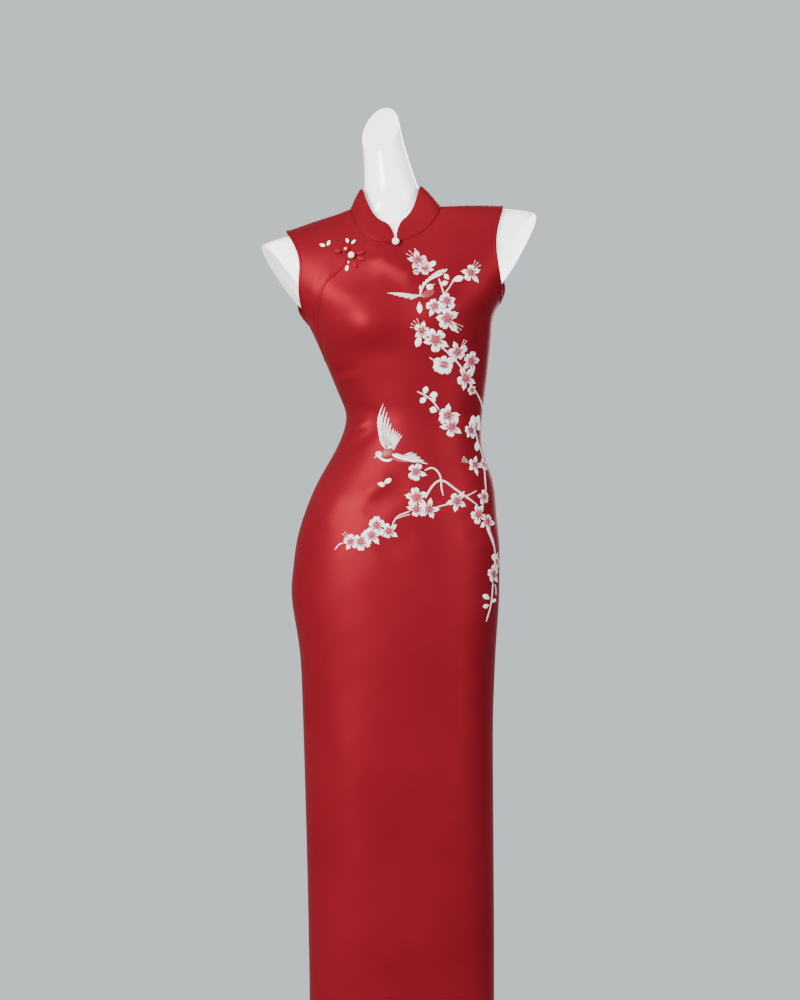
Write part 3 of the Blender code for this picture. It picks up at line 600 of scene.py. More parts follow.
def piece(name, verts, faces, look, sharp=None, uv=None, tint=None):
    mesh = bpy.data.meshes.new(name)
    mesh.from_pydata(np.asarray(verts).tolist(), [], [tuple(int(i) for i in face) for face in faces])
    mesh.update()
    bm = bmesh.new()
    bm.from_mesh(mesh)
    obj = finished(mesh, bm, look, sharp)
    if uv is not None:
        index = np.empty(len(mesh.loops), int)
        mesh.loops.foreach_get("vertex_index", index)
        layer = mesh.uv_layers.new(name="stitch")
        layer.data.foreach_set("uv", np.asarray(uv, float)[index].ravel())
    if tint is not None:
        layer = mesh.color_attributes.new("tint", "FLOAT_COLOR", "POINT")
        layer.data.foreach_set("color", np.hstack([tint, np.ones((len(verts), 1))]).ravel())
    return obj


def two_skins(outer, inner):
    """Vertices and faces of a closed sheet between two grids of points."""
    rows, columns = outer.shape[:2]
    ids = np.arange(rows * columns).reshape(rows, columns)
    quads = np.stack([ids[:-1, :-1], ids[:-1, 1:], ids[1:, 1:], ids[1:, :-1]], axis=-1).reshape(-1, 4)
    rim = np.concatenate([ids[0], ids[1:, -1], ids[-1, -2::-1], ids[-2:0:-1, 0]])
    after = np.roll(rim, -1)
    far = rows * columns
    sides = np.stack([rim, after, after + far, rim + far], axis=-1)
    return (np.concatenate([outer.reshape(-1, 3), inner.reshape(-1, 3)]),
            np.concatenate([quads, quads[:, ::-1] + far, sides[:, ::-1]]))


def ring_faces(ids, closed=True):
    """Quads between rows of points, each row a ring; closed joins the last row to the first."""
    after = np.roll(ids, -1, axis=0)
    quads = np.stack([ids, np.roll(ids, -1, axis=1), np.roll(after, -1, axis=1), after], axis=-1)
    return (quads if closed else quads[:-1]).reshape(-1, 4)


def length_along(line):
    return np.concatenate([[0], np.cumsum(np.linalg.norm(np.diff(line, axis=0), axis=1))])


def unit(v):
    return v / np.linalg.norm(v, axis=-1, keepdims=True)


def cloth(name, grid, front, ply):
    x, w = grid[..., 0], grid[..., 1]
    points = on_figure(x, w, front)
    out = normal(points)
    lift = (front_lift if front else back_lift)(x, w)[..., None]
    points = points + out * lift + np.array([0, SEAM_LAP if front else -SEAM_LAP, 0])
    ply = np.broadcast_to(ply, x.shape)[..., None]
    verts, faces = two_skins(points + out * ply, points + out * (ply - CLOTH))
    return piece(name, verts, faces, SATIN, sharp=60), points + out * ply, out


def loop_tube(name, centres, ups, sides, closed, half, look, offset=0.0):
    """A band of rounded section along a line: half is its half width (along sides) and half height."""
    count = 12
    a = around(count)
    across = np.sign(np.cos(a)) * np.abs(np.cos(a)) ** 0.7 * half[0]
    up = np.sign(np.sin(a)) * np.abs(np.sin(a)) ** 0.7 * half[1]
    rings = (centres[:, None] + sides[:, None] * (across[None, :, None] + offset)
             + ups[:, None] * up[None, :, None])
    ids = np.arange(len(centres) * count).reshape(-1, count)
    ends = [] if closed else [ids[0][::-1], ids[-1]]
    return piece(name, rings.reshape(-1, 3), [*ring_faces(ids, closed), *ends], look)


# ---------------------------------------------------------------- the dress

grid = front_grid()
front, front_skin, front_out = cloth("dress_front", grid, True, OUTER_PLY)
lap_grid = underlap_grid()
across_lap = steps(lap_grid.shape[1] - 1)
lap_ply = OUTER_PLY - (OUTER_PLY - UNDER_PLY) * smooth_step((across_lap - 0.5) / 0.32)
underlap, underlap_skin, underlap_out = cloth("dress_underlap", lap_grid, True, lap_ply)
back, back_skin, back_out = cloth("dress_back", back_grid(), False, OUTER_PLY)


hole_rows = (ARMHOLE_ROWS - 1) * FINER + 1
lap_rows = lap_grid.shape[0] - (SEAM_ROWS - 1) * FINER - (FINER - 1)


def edge_binding(name, skin, skin_out, rows, column, inside):
    """A narrow rounded band round an armhole: up this front's edge, then down the back's."""
    line, out = (np.concatenate([before[-rows:, column], behind[-hole_rows:, column][::-1][1:-1]])
                 for before, behind in ((skin, back_skin), (skin_out, back_out)))
    along = unit(np.roll(line, -1, axis=0) - np.roll(line, 1, axis=0))
    side = unit(np.cross(out, along)) * inside
    for _ in range(3):
        side = unit(side + np.roll(side, 1, axis=0) + np.roll(side, -1, axis=0))
    return loop_tube(name, line - out * CLOTH / 2, out, side, True, (0.0026, 0.0013), SATIN, 0.0020)


binding_left = edge_binding("armhole_edge_left", underlap_skin, underlap_out, lap_rows, 0, -1)
binding_right = edge_binding("armhole_edge_right", front_skin, front_out, hole_rows, -1, 1)


def overlap_roll():
    """The turned edge of the overlap: a slim roll along it."""
    over = FRONT_TOP[0] * FINER
    first = sum(SKIRT_ROWS) * FINER
    line = np.concatenate([front_skin[first:, 0], front_skin[-1, 1:over + 1]])
    out = np.concatenate([front_out[first:, 0], front_out[-1, 1:over + 1]])
    along = unit(np.gradient(line, axis=0))
    side = unit(np.cross(along, out))
    centres = line - out * CLOTH / 2
    return loop_tube("overlap_roll", centres, out, side, False, (0.0020, 0.0014), SATIN, 0.0012)


roll = overlap_roll()


def collar_band():
    """A stiff standing band on the neckline that leans in to an oval rim; its front ends are rounded."""
    t = steps(40)
    runs = [(neckline("right", "front", t), True), (neckline("right", "back", t[::-1])[1:], False),
            (neckline("left", "back", t)[1:], False), (neckline("left", "front", t[::-1])[1:], True)]
    foot, out = [], []
    for run, face in runs:
        points = on_figure(run[:, 0], run[:, 1], face)
        out.append(normal(points))
        lift = (front_lift if face else back_lift)(run[:, 0], run[:, 1])[:, None]
        foot.append(points + out[-1] * (OUTER_PLY + lift))
    foot, out = np.concatenate(foot), np.concatenate(out)
    foot[0] += unit(foot[1] - foot[0]) * COLLAR_PARTING
    foot[-1] += unit(foot[-2] - foot[-1]) * COLLAR_PARTING
    angle = np.arctan2(foot[:, 0] - COLLAR_CENTRE[0], COLLAR_CENTRE[1] - foot[:, 1])
    rim = np.stack([COLLAR_CENTRE[0] + COLLAR_HALF[0] * np.sin(angle),
                    COLLAR_CENTRE[1] - COLLAR_HALF[1] * np.cos(angle),
                    foot[:, 2] + COLLAR_RISE], axis=-1)
    run = length_along(foot)
    ends = np.clip(np.minimum(run, run[-1] - run) / COLLAR_ROUND, 0, 1)
    tall = COLLAR_END + (1 - COLLAR_END) * np.sqrt(1 - (1 - ends) ** 2)
    rise = (rim - foot) * tall[:, None]
    face = unit(np.cross(np.gradient(foot, axis=0), rise))
    v = np.linspace(0, 1, 13)
    bow = 0.0016 * np.sin(v * math.pi)
    skin = foot[None] + rise[None] * v[:, None, None] + face[None] * bow[:, None, None]
    rounding = np.clip((v - 0.93) / 0.08, 0, 1) ** 2
    thick = COLLAR_THICKNESS * np.sqrt(np.clip(1 - rounding, 0.05, 1))[:, None, None]
    outer = skin - face[None] * (COLLAR_THICKNESS - thick) / 2
    inner = outer - face[None] * thick
    outer[0] -= out * 0.0006
    inner[0] -= out * 0.0006
    verts, faces = two_skins(outer, inner)
    band = piece("stand_collar", verts, faces, SATIN, sharp=50)
    seam_line = foot + rise * 0.06
    seam = loop_tube("collar_seam", seam_line + face * 0.0004, face, unit(rise), False,
                     (0.0011, 0.0007), SATIN)
    return band, seam


collar, collar_seam = collar_band()


# ---------------------------------------------------------------- embroidery

WHITE = np.array((0.83, 0.80, 0.79))
PALE = np.array((0.62, 0.36, 0.37))
PINK = np.array((0.35, 0.034, 0.062))
DEEP = np.array((0.20, 0.012, 0.026))
BODY = np.array((0.22, 0.006, 0.009))
GREY = np.array((0.45, 0.46, 0.44))
EYE_SHARE, STAMEN = 0.36, np.array((0.1, 1.0))
rng = np.random.default_rng(7)


class Stitches:
    """Raised stitching on the front: closed low domes, gathered into one mesh."""

    def __init__(self):
        self.verts, self.faces, self.tint, self.uv, self.count = [], [], [], [], 0

    def add(self, x, z, height, tint, u, v):
        """x and z are grids of places on the front, with a height, tint and stitch place at each."""
        w = level(x, z)
        points = on_figure(x, w)
        out = normal(points)
        lift = (OUTER_PLY + front_lift(x, w))[..., None]
        verts, faces = two_skins(points + out * (lift + height[..., None]), points + out * (lift - 0.0003))
        self.verts.append(verts)
        self.faces.append(faces + self.count)
        self.count += len(verts)
        tints, places = np.broadcast_to(tint, (*x.shape, 3)), np.stack([u, v], axis=-1)
        self.tint.append(np.tile(tints.reshape(-1, 3), (2, 1)))
        self.uv.append(np.tile(places.reshape(-1, 2), (2, 1)))

    def object(self, name):
        return piece(name, np.concatenate(self.verts), np.concatenate(self.faces), THREAD, sharp=50,
                     uv=np.concatenate(self.uv), tint=np.concatenate(self.tint))


def placed(cx, cz, dx, dz):
    """The place dx across and dz up the cloth from (cx, cz), as x and z."""
    out = normal(on_figure(cx, level(np.array(cx), cz)))
    across = unit(np.cross(out, (0, 0, 1)))
    upward = unit(np.cross(out, across))
    across *= math.copysign(1, across[0])
    upward *= math.copysign(1, upward[2])
    return cx + dx * across[0] + dz * upward[0], cz + dx * across[2] + dz * upward[2]


def petal(st, cx, cz, turn, start, end, half, pink, tint=(PINK, WHITE), notch=0.10, point=0.0, rise=0.0009):
    """One petal from start to end along turn, wider towards a notched or pointed tip."""
    u, v = np.meshgrid(np.linspace(-1, 1, 9), np.linspace(0.03, 0.985, 9))
    width = half * 1.22 * v ** 0.7 * np.sqrt(1 - v ** (3.2 - 1.6 * (point > 0)))
    length = (end - start) * (1 - notch * np.exp(-(u / 0.4) ** 2) * v ** 3
                              + point * (1 - np.abs(u)) * v ** 3)
    length = length * (1 + 0.05 * rng.standard_normal(1) * v)
    along = start + length * v + 0.03 * half * rng.standard_normal(u.shape) * (np.abs(u) > 0.9)
    across = u * width * (1 + 0.04 * rng.standard_normal(u.shape) * (v > 0.5))
    a, b = math.cos(turn), math.sin(turn)
    x, z = placed(cx, cz, along * a - across * b, along * b + across * a)
    height = np.sqrt(np.clip(1 - 0.92 * u ** 2, 0, 1)) * np.sin(math.pi * np.clip(v, 0.06, 0.95)) ** 0.5
    blend = smooth_step((v - pink * (0.75 + 0.35 * np.cos(3.2 * u))) / 0.22)[..., None]
    colour = tint[0] * (1 - blend) + tint[1] * blend
    # Painted shade: the middle of the outer petal is darkened a little, as if shade lay in a crease there.
    crease_shade = smooth_step((v - 0.55) * 3) * (np.abs(u) < 0.12)
    st.add(x, z, rise * height, colour * (1 - 0.14 * crease_shade[..., None]), across, along)


def disc(st, cx, cz, radius, tint, points, ragged, rise=0.0010, flat=1.0, turn=0.0):
    """A ragged round patch of stitches."""
    a, r = np.meshgrid(np.linspace(0, 2 * math.pi, 2 * points + 1), np.array((0.06, 0.45, 0.8, 1.0)))
    reach = radius * r * (1 + ragged * np.where(np.round(a / math.pi * points) % 2 > 0, 0.5, -0.5) * r)
    dx, dz = reach * np.cos(a), reach * np.sin(a) * flat
    c, s = math.cos(turn), math.sin(turn)
    x, z = placed(cx, cz, dx * c - dz * s, dx * s + dz * c)
    st.add(x, z, rise * np.sqrt(np.clip(1.04 - r ** 2, 0, 1)), tint, reach, a * radius)


def dot(st, x, z, radius, tint, rise):
    disc(st, x, z, radius, tint, rise=rise, points=4, ragged=0.0)


def stroke(st, places, width, tint, rise=0.0007, taper=(0.5, 0.4), rows=8):
    """A line of satin stitch through these places, tapering at both ends."""
    places = np.asarray(places, float)
    straight = places[0] + (places[1] - places[0]) * steps(6)[:, None]
    line = spline(places, rows) if len(places) > 2 else straight
    t = steps(len(line) - 1)
    along = unit(np.gradient(line, axis=0))
    half = width / 2 * np.minimum(1, np.minimum(taper[0] + t * 5, taper[1] + (1 - t) * 5))
    u = np.linspace(-1, 1, 5)
    across = half[:, None] * u
    x = line[:, :1] - along[:, 1:] * across
    z = line[:, 1:] + along[:, :1] * across
    height = rise * np.sqrt(1.02 - u ** 2)[None, :] * np.minimum(1, half / half.max() * 1.2)[:, None]
    st.add(x, z, height, tint, across, np.broadcast_to(length_along(line)[:, None], x.shape))


def spoke(st, cx, cz, angle, reaches, width, tint, rise):
    """A stroke between two distances out from a flower's centre; gives the place of its outer end."""
    x, z = placed(cx, cz, reaches * math.cos(angle), reaches * math.sin(angle))
    stroke(st, list(zip(x, z)), width, tint, rise=rise)
    return x[1], z[1]


def leaf(st, x0, z0, x1, z1, width, tint, bend=0.0, rise=0.0009, peak=0.5, blend_at=0.25):
    """A feather, bud or leaf: fullest at peak of its length, drawn to a point at both ends."""
    t, u = np.meshgrid(np.linspace(0.01, 0.99, 10), np.linspace(-1, 1, 5), indexing="ij")
    run = np.array((x1 - x0, z1 - z0))
    length = float(np.linalg.norm(run))
    half = width / 2 * np.sin(math.pi * t ** (math.log(0.5) / math.log(peak))) ** 0.75
    off = half * u + bend * np.sin(math.pi * t) * length
    x = x0 + run[0] * t - run[1] / length * off
    z = z0 + run[1] * t + run[0] / length * off
    height = rise * np.sqrt(np.clip(1 - 0.95 * u ** 2, 0, 1)) * np.sin(math.pi * t) ** 0.5
    blend = smooth_step((t - blend_at) / 0.3)[..., None]
    st.add(x, z, height, tint[0] * (1 - blend) + tint[1] * blend, half * u, t * length)


def blossom(st, cx, cz, radius, turn, warm):
    """A plum blossom seen from above: notched white petals round a ragged pink eye with stamens."""
    edge = WHITE * (1 - warm) + PALE * warm
    for i in range(5):
        angle = math.radians(turn) + 2 * math.pi * i / 5 + 0.10 * rng.standard_normal()
        reach = radius * (1.04 + 0.07 * rng.standard_normal())
        pointed = rng.random() < 0.5
        petal(st, cx, cz, angle, radius * 0.08, reach * (1.06 if pointed else 1.0),
              radius * (0.50 - 0.05 * pointed), 0.44, (PINK, edge), 0.0 if pointed else 0.20, 0.22 * pointed,
              rise=0.0009 + 0.00025 * (i % 2))
        for lean in (-0.22, 0.24):
            a = angle + lean + 0.05 * rng.standard_normal()
            spoke(st, cx, cz, a, reach * np.array((0.42, 0.80)), 0.0007, PALE * 0.9, 0.00125)
    eye = PINK * (0.8 + 0.3 * rng.random())
    disc(st, cx, cz, radius * EYE_SHARE * 0.72, eye, rise=0.0014, points=8, ragged=0.45)
    for i in range(5):
        a = math.radians(turn + 36) + 2 * math.pi * i / 5 + 0.2 * rng.standard_normal()
        x, z = spoke(st, cx, cz, a, radius * EYE_SHARE * 1.15 * STAMEN, 0.0010, DEEP, 0.0017)
        dot(st, x, z, 0.0010, PALE, 0.0019)


# Blossoms: x and height of the centre and radius in millimetres, turn, and how pink its petals are
BLOSSOMS = np.array([
    (31, 1358, 15, 100, 0.55), (42, 1346, 12.5, 60, 0.45), (115, 1340, 13.5, 18, 0.10),
    (76, 1292, 13.5, 90, 0.05), (57, 1283, 12.5, 170, 0.05), (76, 1265, 18.5, 30, 0.0),
    (37, 1246, 12.5, 80, 0.10), (58, 1232, 18, 50, 0.0), (92, 1213, 15, 110, 0.10),
    (114, 1199, 16.5, 80, 0.35), (105, 1171, 16, 120, 0.0), (115, 1153, 8.5, 40, 0.2),
    (77, 1110, 16.5, 75, 0.0), (83, 1092, 16, 40, 0.0), (113, 1087, 14, 95, 0.1),
    (120, 1029, 13, 70, 0.0), (134, 1030, 10, 20, 0.4), (27, 1018, 13, 60, 0.0), (28, 977, 16.5, 95, 0.0),
    (28, 958, 12.5, 30, 0.05), (48, 958, 13.5, 80, 0.0), (92, 971, 14.5, 50, 0.05),
    (134, 978, 11.5, 90, 0.45), (126, 950, 15, 120, 0.0), (140, 938, 14.5, 60, 0.0),
    (155, 873, 11.5, 80, 0.3), (150, 853, 15, 100, 0.1), (-35, 933, 14, 85, 0.0),
    (-16, 923, 12.5, 40, 0.0), (-43, 917, 14, 20, 0.0), (-60, 906, 14, 60, 0.0),
    (-76, 906, 12.5, 100, 0.05),
]) * (MM, MM, MM, 1, 1)
# Twigs, in millimetres: places from the thick end, and width
TWIGS = (
    (((72, 1300), (68, 1316), (64, 1329)), 2.4),
    (((72, 1303), (80, 1314), (88, 1325), (105, 1333)), 2),
    (((64, 1224), (76, 1213), (92, 1197), (101, 1184)), 2.6),
    (((48, 1204), (56, 1199), (64, 1195)), 1.8),
    (((112, 1163), (122, 1150), (130, 1134), (133, 1122)), 2.2),
    (((29, 1149), (46, 1140), (57, 1129), (64, 1119)), 2.4),
    (((121, 1085), (126, 1064), (133, 1043), (136, 1015), (138, 985)), 2.2),
    (((41, 1020), (54, 1024), (65, 1012), (67, 996), (70, 980)), 2.6),
    (((42, 976), (50, 991), (60, 1002), (72, 1003), (86, 993), (104, 980), (124, 965)), 3),
    (((105, 979), (114, 983), (123, 988)), 1.8),
    (((59, 961), (68, 964), (78, 966)), 2.2),
    (((18, 955), (2, 949), (-6, 942), (-11, 932)), 2.2),
    (((18, 950), (6, 947), (-4, 943)), 1.6),
    (((-88, 904), (-95, 901), (-101, 893)), 2),
    (((143, 926), (147, 914), (150, 903), (153, 883)), 2.2),
    (((141, 924), (146, 910), (150, 898)), 1.6),
    (((149, 838), (148, 822), (145, 800), (138, 776)), 2),
    (((152, 836), (154, 828), (154, 818)), 1.4),
)
# Buds and loose petals, in millimetres: foot and tip as x and height, then width
BUDS = MM * np.array([
    (80, 1327, 73, 1336, 7), (79, 1324, 68, 1319, 8), (84, 1325, 103, 1332, 9.5),
    (33, 1291, 34, 1272, 8.5), (35, 1240, 28, 1220, 10), (40, 1144, 44, 1157, 8.5),
    (48, 1142, 61, 1145, 10), (44, 1141, 34, 1131, 8.5), (50, 1138, 58, 1134, 7),
    (61, 1117, 49, 1121, 10.5), (116, 1094, 118, 1112, 7.5), (121, 1092, 126, 1113, 7.5),
    (124, 1072, 123, 1052, 8), (-34, 999, -22, 996, 7.5), (-24, 998, -12, 1007, 7.5),
    (144, 812, 133, 820, 8), (143, 803, 133, 800, 7), (146, 806, 154, 812, 5.5), (152, 872, 150, 886, 8),
    (48, 1348, 59, 1357, 8.5),
])


# Fine stamens, in millimetres: foot as x and height, reach, and the way each one points in degrees
STAMENS = (
    (29, 1360, 19, (100, 128, 150)), (116, 1342, 18, (35, 52, 68)), (79, 1262, 24, (-48, -34, -20)),
    (36, 1248, 17, (112, 132, 152, 170)), (96, 1216, 18, (58, 74)), (113, 1031, 16, (135, 150, 165)),
    (-78, 908, 15, (120, 138)),
)


def half_blossom(st, cx, cz, turn, radius):
    """A blossom from the side: petals in a fan, with a red streak across."""
    for i, spread in enumerate((-58, -30, 0, 30, 58)):
        reach = radius * (1.0 if i % 4 else 0.86)
        petal(st, cx, cz, math.radians(turn + spread), radius * 0.1, reach, radius * 0.42, pink=0.02)
    for lean, tint in ((-14, PINK), (4, PALE), (20, PINK)):
        spoke(st, cx, cz, math.radians(turn + lean), radius * np.array((0.12, 0.72)), 0.0020, tint, 0.0016)


def squashed_blossom(st, cx, cz):
    """A wide blossom, its eye crossed by three stitches."""
    for degrees, reach in ((160, 0.019), (205, 0.021), (250, 0.017), (300, 0.017), (345, 0.015),
                           (40, 0.014), (100, 0.014)):
        petal(st, cx, cz, math.radians(degrees), 0.002, reach, reach * 0.42, pink=0.25, notch=0.16)
    disc(st, cx, cz, 0.0060, PINK, rise=0.0013, points=8, ragged=0.3, flat=0.6, turn=-0.25)
    for lean in (-0.0028, 0.0, 0.0028):
        line = ((cx + 0.007, cz - 0.003 + lean), (cx - 0.002, cz + 1.3 * lean),
                (cx - 0.011, cz + 0.002 + 1.6 * lean))
        stroke(st, line, 0.0013, DEEP if lean else PALE, rise=0.0017)


def feather(st, x0, z0, x1, z1, width, bend=0.0, tint=(WHITE, WHITE)):
    """A slim feather with a fine grey shaft."""
    leaf(st, x0, z0, x1, z1, width, tint, bend=bend, peak=0.6)
    run, side = np.array((x1 - x0, z1 - z0)), np.array((z0 - z1, x1 - x0))
    places = [np.array((x0, z0)) + run * t + side * bend * math.sin(math.pi * t) for t in (0.15, 0.5, 0.85)]
    stroke(st, places, 0.0006, GREY, rise=0.0012, rows=4)


def first_bird(st):
    """A small bird flying to the right: raised wing, long tail feathers, red breast."""
    for i in range(9):
        t = i / 8
        x0, z0 = 0.0355 + 0.034 * t, 1.307 + 0.029 * math.sin(t * 1.6)
        feather(st, x0, z0, x0 - 0.001 + 0.009 * t, z0 + 0.0105 - 0.002 * t, 0.0032, bend=0.06)
    wing = ((0.034, 1.303), (0.038, 1.314), (0.046, 1.325), (0.058, 1.332), (0.070, 1.337))
    stroke(st, wing, 0.0034, WHITE)
    for i in range(5):
        feather(st, 0.038, 1.2985 + 0.0010 * i, -0.019 + 0.009 * i, 1.3045 - 0.0026 * i, 0.0034,
                bend=-0.02, tint=(WHITE, PALE * 0.4 + WHITE * 0.6))
    disc(st, 0.0465, 1.3035, 0.0115, BODY, rise=0.0014, points=9, ragged=0.12, flat=0.55, turn=0.45)
    disc(st, 0.0495, 1.3145, 0.0054, WHITE, rise=0.0018, points=7, ragged=0.1)
    dot(st, 0.0503, 1.3150, 0.0015, GREY * 0.15, 0.0026)
    leaf(st, 0.052, 1.317, 0.058, 1.320, 0.0020, (PALE, PALE))


def second_bird(st):
    """A larger bird with both wings raised and a fan of tail feathers."""
    for i in range(6):
        t = i / 5
        feather(st, -0.0190 + 0.0040 * t, 1.056 + 0.003 * t, -0.0235 + 0.0145 * t, 1.131 - 0.044 * t ** 1.2,
                0.0031, bend=0.14 - 0.13 * t)
    feather(st, -0.019, 1.054, -0.0265, 1.112, 0.0034, bend=0.13)
    feather(st, -0.019, 1.052, -0.0270, 1.088, 0.0042, bend=0.12)
    for i in range(5):
        t = i / 4
        feather(st, -0.0100 + 0.0020 * t, 1.054 - 0.002 * t, -0.0080 + 0.0140 * t, 1.089 - 0.011 * t,
                0.0026, bend=0.05)
    stroke(st, ((-0.019, 1.052), (-0.015, 1.057), (-0.011, 1.060)), 0.0048, WHITE)
    for i in range(8):
        t = i / 7
        x0 = 0.003 + 0.020 * t
        feather(st, x0, 1.0415 - 0.006 * t, x0 + 0.020 + 0.003 * (i % 2), 1.0495 - 0.019 * t, 0.0022,
                bend=0.05 - 0.03 * t)
    for i in range(5):
        x0 = -0.010 + 0.005 * i
        feather(st, x0, 1.044 - 0.0012 * i, x0 + 0.009, 1.0475 - 0.0016 * i, 0.0030)
    back = ((-0.010, 1.046), (0.000, 1.041), (0.012, 1.038), (0.028, 1.034))
    stroke(st, back, 0.0040, WHITE, taper=(0.6, 0.3))
    stroke(st, ((-0.012, 1.040), (0.000, 1.036), (0.014, 1.034)), 0.0022, PINK)
    disc(st, -0.018, 1.0490, 0.0098, BODY, rise=0.0016, points=9, ragged=0.10, flat=0.75, turn=0.3)
    breast = ((-0.033, 1.045), (-0.027, 1.039), (-0.019, 1.036), (-0.011, 1.038))
    stroke(st, breast, 0.0040, WHITE, rise=0.0012)
    disc(st, -0.0315, 1.0460, 0.0052, WHITE, rise=0.0018, points=7, ragged=0.1)
    dot(st, -0.0318, 1.0462, 0.0019, GREY * 0.15, 0.0027)
    leaf(st, -0.035, 1.043, -0.0405, 1.0385, 0.0024, (PALE, PINK))


def embroidery():
    twigs, blossoms, birds = Stitches(), Stitches(), Stitches()
    for places, width in TWIGS:
        stroke(twigs, MM * np.array(places), MM * width, PALE * 0.55 + WHITE * 0.45)
    for bud in BUDS:
        leaf(blossoms, *bud, (PALE, WHITE), peak=0.6, blend_at=0.05)
    squashed_blossom(blossoms, 0.072, 1.193)
    half_blossom(blossoms, 0.121, 1.090, 75, 0.0170)
    for flower in BLOSSOMS:
        blossom(blossoms, *flower)
    disc(blossoms, 0.028, 1.338, 0.0050, PALE, points=7, ragged=0.3)
    disc(blossoms, 0.028, 1.338, 0.0026, PINK, rise=0.0014, points=5, ragged=0.2)
    for cx, cz, reach, angles in STAMENS:
        for degrees in angles:
            reaches = MM * reach * np.array((0.35, 1.0))
            x, z = spoke(blossoms, MM * cx, MM * cz, math.radians(degrees), reaches, 0.0010,
                         PALE * 0.85, 0.0005)
            dot(blossoms, x, z, 0.0012, PALE, 0.0007)
    first_bird(birds)
    second_bird(birds)
    return (twigs.object("embroidered_twigs"), blossoms.object("embroidered_blossoms"),
            birds.object("embroidered_birds"))


stitched = embroidery()


# ---------------------------------------------------------------- pearls and the flower knot

COLLAR_PEARL, KNOT_PEARL, CORD_RADIUS = 0.0060, 0.0054, 0.0013
KNOT_CENTRE = (-0.0760, 1.3740)
KNOT_COIL = (-0.0097, 0.0129, 0.0044)
KNOT_LOOPS = (
    (-0.0225, 0.0110, 0.0115, 0.0085, 170),
    (0.0140, 0.0042, 0.0145, 0.0070, 12),
    (0.0145, -0.0060, 0.0145, 0.0065, -20),
    (0.0055, -0.0142, 0.0115, 0.0060, -65),
)
KNOT_PETALS = (
    (-0.0470, 0.0240, 0.0100, 0.0056, 155),
    (-0.0370, 0.0262, 0.0100, 0.0056, 70),
    (-0.0070, 0.0262, 0.0092, 0.0050, 110),
    (0.0030, 0.0228, 0.0090, 0.0048, 50),
    (-0.0073, -0.0185, 0.0100, 0.0058, -100),
)
KNOT_BEADS = ((-0.0097, 0.0129, 0.0021), (-0.0048, -0.0095, 0.0019))
PETAL_THICKNESS = 0.0026


def seat(x, w, lift, angle=0.0):
    """A frame on the front: across, up the cloth and out of it, at this lift."""
    point = on_figure(x, w)
    out = Vector(normal(point))
    across = Vector((1, 0, 0))
    across = (across - out * across.dot(out)).normalized()
    made = Matrix((across, out.cross(across), out)).transposed().to_4x4()
    made.translation = Vector(point) + out * (lift + float(front_lift(np.array(x), np.array(w))))
    return made @ Matrix.Rotation(math.radians(angle), 4, "Z")


def knot_seat(across, up, lift, angle=0.0):
    return seat(KNOT_CENTRE[0] + across, KNOT_CENTRE[1] + up, lift, angle)


def balls(name, places, look):
    """Several smooth balls or ellipsoids as one piece: a frame and three radii each."""
    bm = bmesh.new()
    for place, radii in places:
        made = bmesh.ops.create_icosphere(bm, subdivisions=4, radius=1)
        bmesh.ops.transform(bm, matrix=place @ Matrix.Diagonal((*radii, 1)), verts=made["verts"])
    return finished(bpy.data.meshes.new(name), bm, look)


def cord_loops(name, loops):
    """Closed leaf-shaped loops of round cord: an outer turn and a thinner one inside it."""
    verts, faces, count, sides = [], [], 48, 10
    a, b = around(count), around(sides)
    pinch = 1 - 0.35 * (1 - np.cos(a)) / 2
    for place, length, width in loops:
        matrix = np.array(place)
        for shrink, lift, radius in ((1.0, 0.0, CORD_RADIUS), (0.52, 0.0006, CORD_RADIUS * 0.75)):
            centre = np.stack([length / 2 * np.cos(a) * shrink, width / 2 * np.sin(a) * pinch * shrink,
                               np.full_like(a, lift)], axis=-1)
            outward = unit(np.stack([np.cos(a) * width, np.sin(a) * length, 0 * a], axis=-1))
            rings = (centre[:, None] + outward[:, None] * (radius * np.cos(b))[None, :, None]
                     + np.array((0, 0, 1)) * (radius * np.sin(b))[None, :, None])
            ids = np.arange(count * sides).reshape(count, sides) + len(faces) * count * sides
            verts.append(rings.reshape(-1, 3) @ matrix[:3, :3].T + matrix[:3, 3])
            faces.append(ring_faces(ids))
    return piece(name, np.concatenate(verts), np.concatenate(faces), CORD)


def flower_knot():
    top = OUTER_PLY + GAP
    across, up, radius = KNOT_COIL
    loops = [(knot_seat(across, up, top + CORD_RADIUS), 2 * radius, 2.4 * radius)]
    for across, up, length, width, angle in KNOT_LOOPS:
        place = knot_seat(across, up, top + CORD_RADIUS, angle)
        loops.append((place, length - 2 * CORD_RADIUS, width - 2 * CORD_RADIUS))
    half = PETAL_THICKNESS / 2
    places = [(knot_seat(across, up, top + half + GAP, angle), (length / 2, width / 2, half))
              for across, up, length, width, angle in KNOT_PETALS]
    places += [(knot_seat(across, up, top + radius), (radius,) * 3) for across, up, radius in KNOT_BEADS]
    return (cord_loops("flower_knot_cords", loops), balls("flower_knot_petals", places, PEARL),
            balls("flower_knot_pearl", [(knot_seat(0, 0, top + KNOT_PEARL), (KNOT_PEARL,) * 3)], PEARL))


knot_cords, knot_petals, knot_pearl = flower_knot()
collar_pearl = balls("collar_button", [(seat(NECK_X, NECK_FRONT - 0.002, OUTER_PLY + GAP + COLLAR_PEARL),
                                        (COLLAR_PEARL,) * 3)], PEARL)


# ---------------------------------------------------------------- the form and its stand

def cutter(name, corner, edges):
    bm = bmesh.new()
    for i in range(8):
        bm.verts.new(Vector(corner) + edges[0] * (i & 1) + edges[1] * (i >> 1 & 1) + edges[2] * (i >> 2))
    bmesh.ops.convex_hull(bm, input=bm.verts)
    return finished(bpy.data.meshes.new(name), bm, GLOSS)


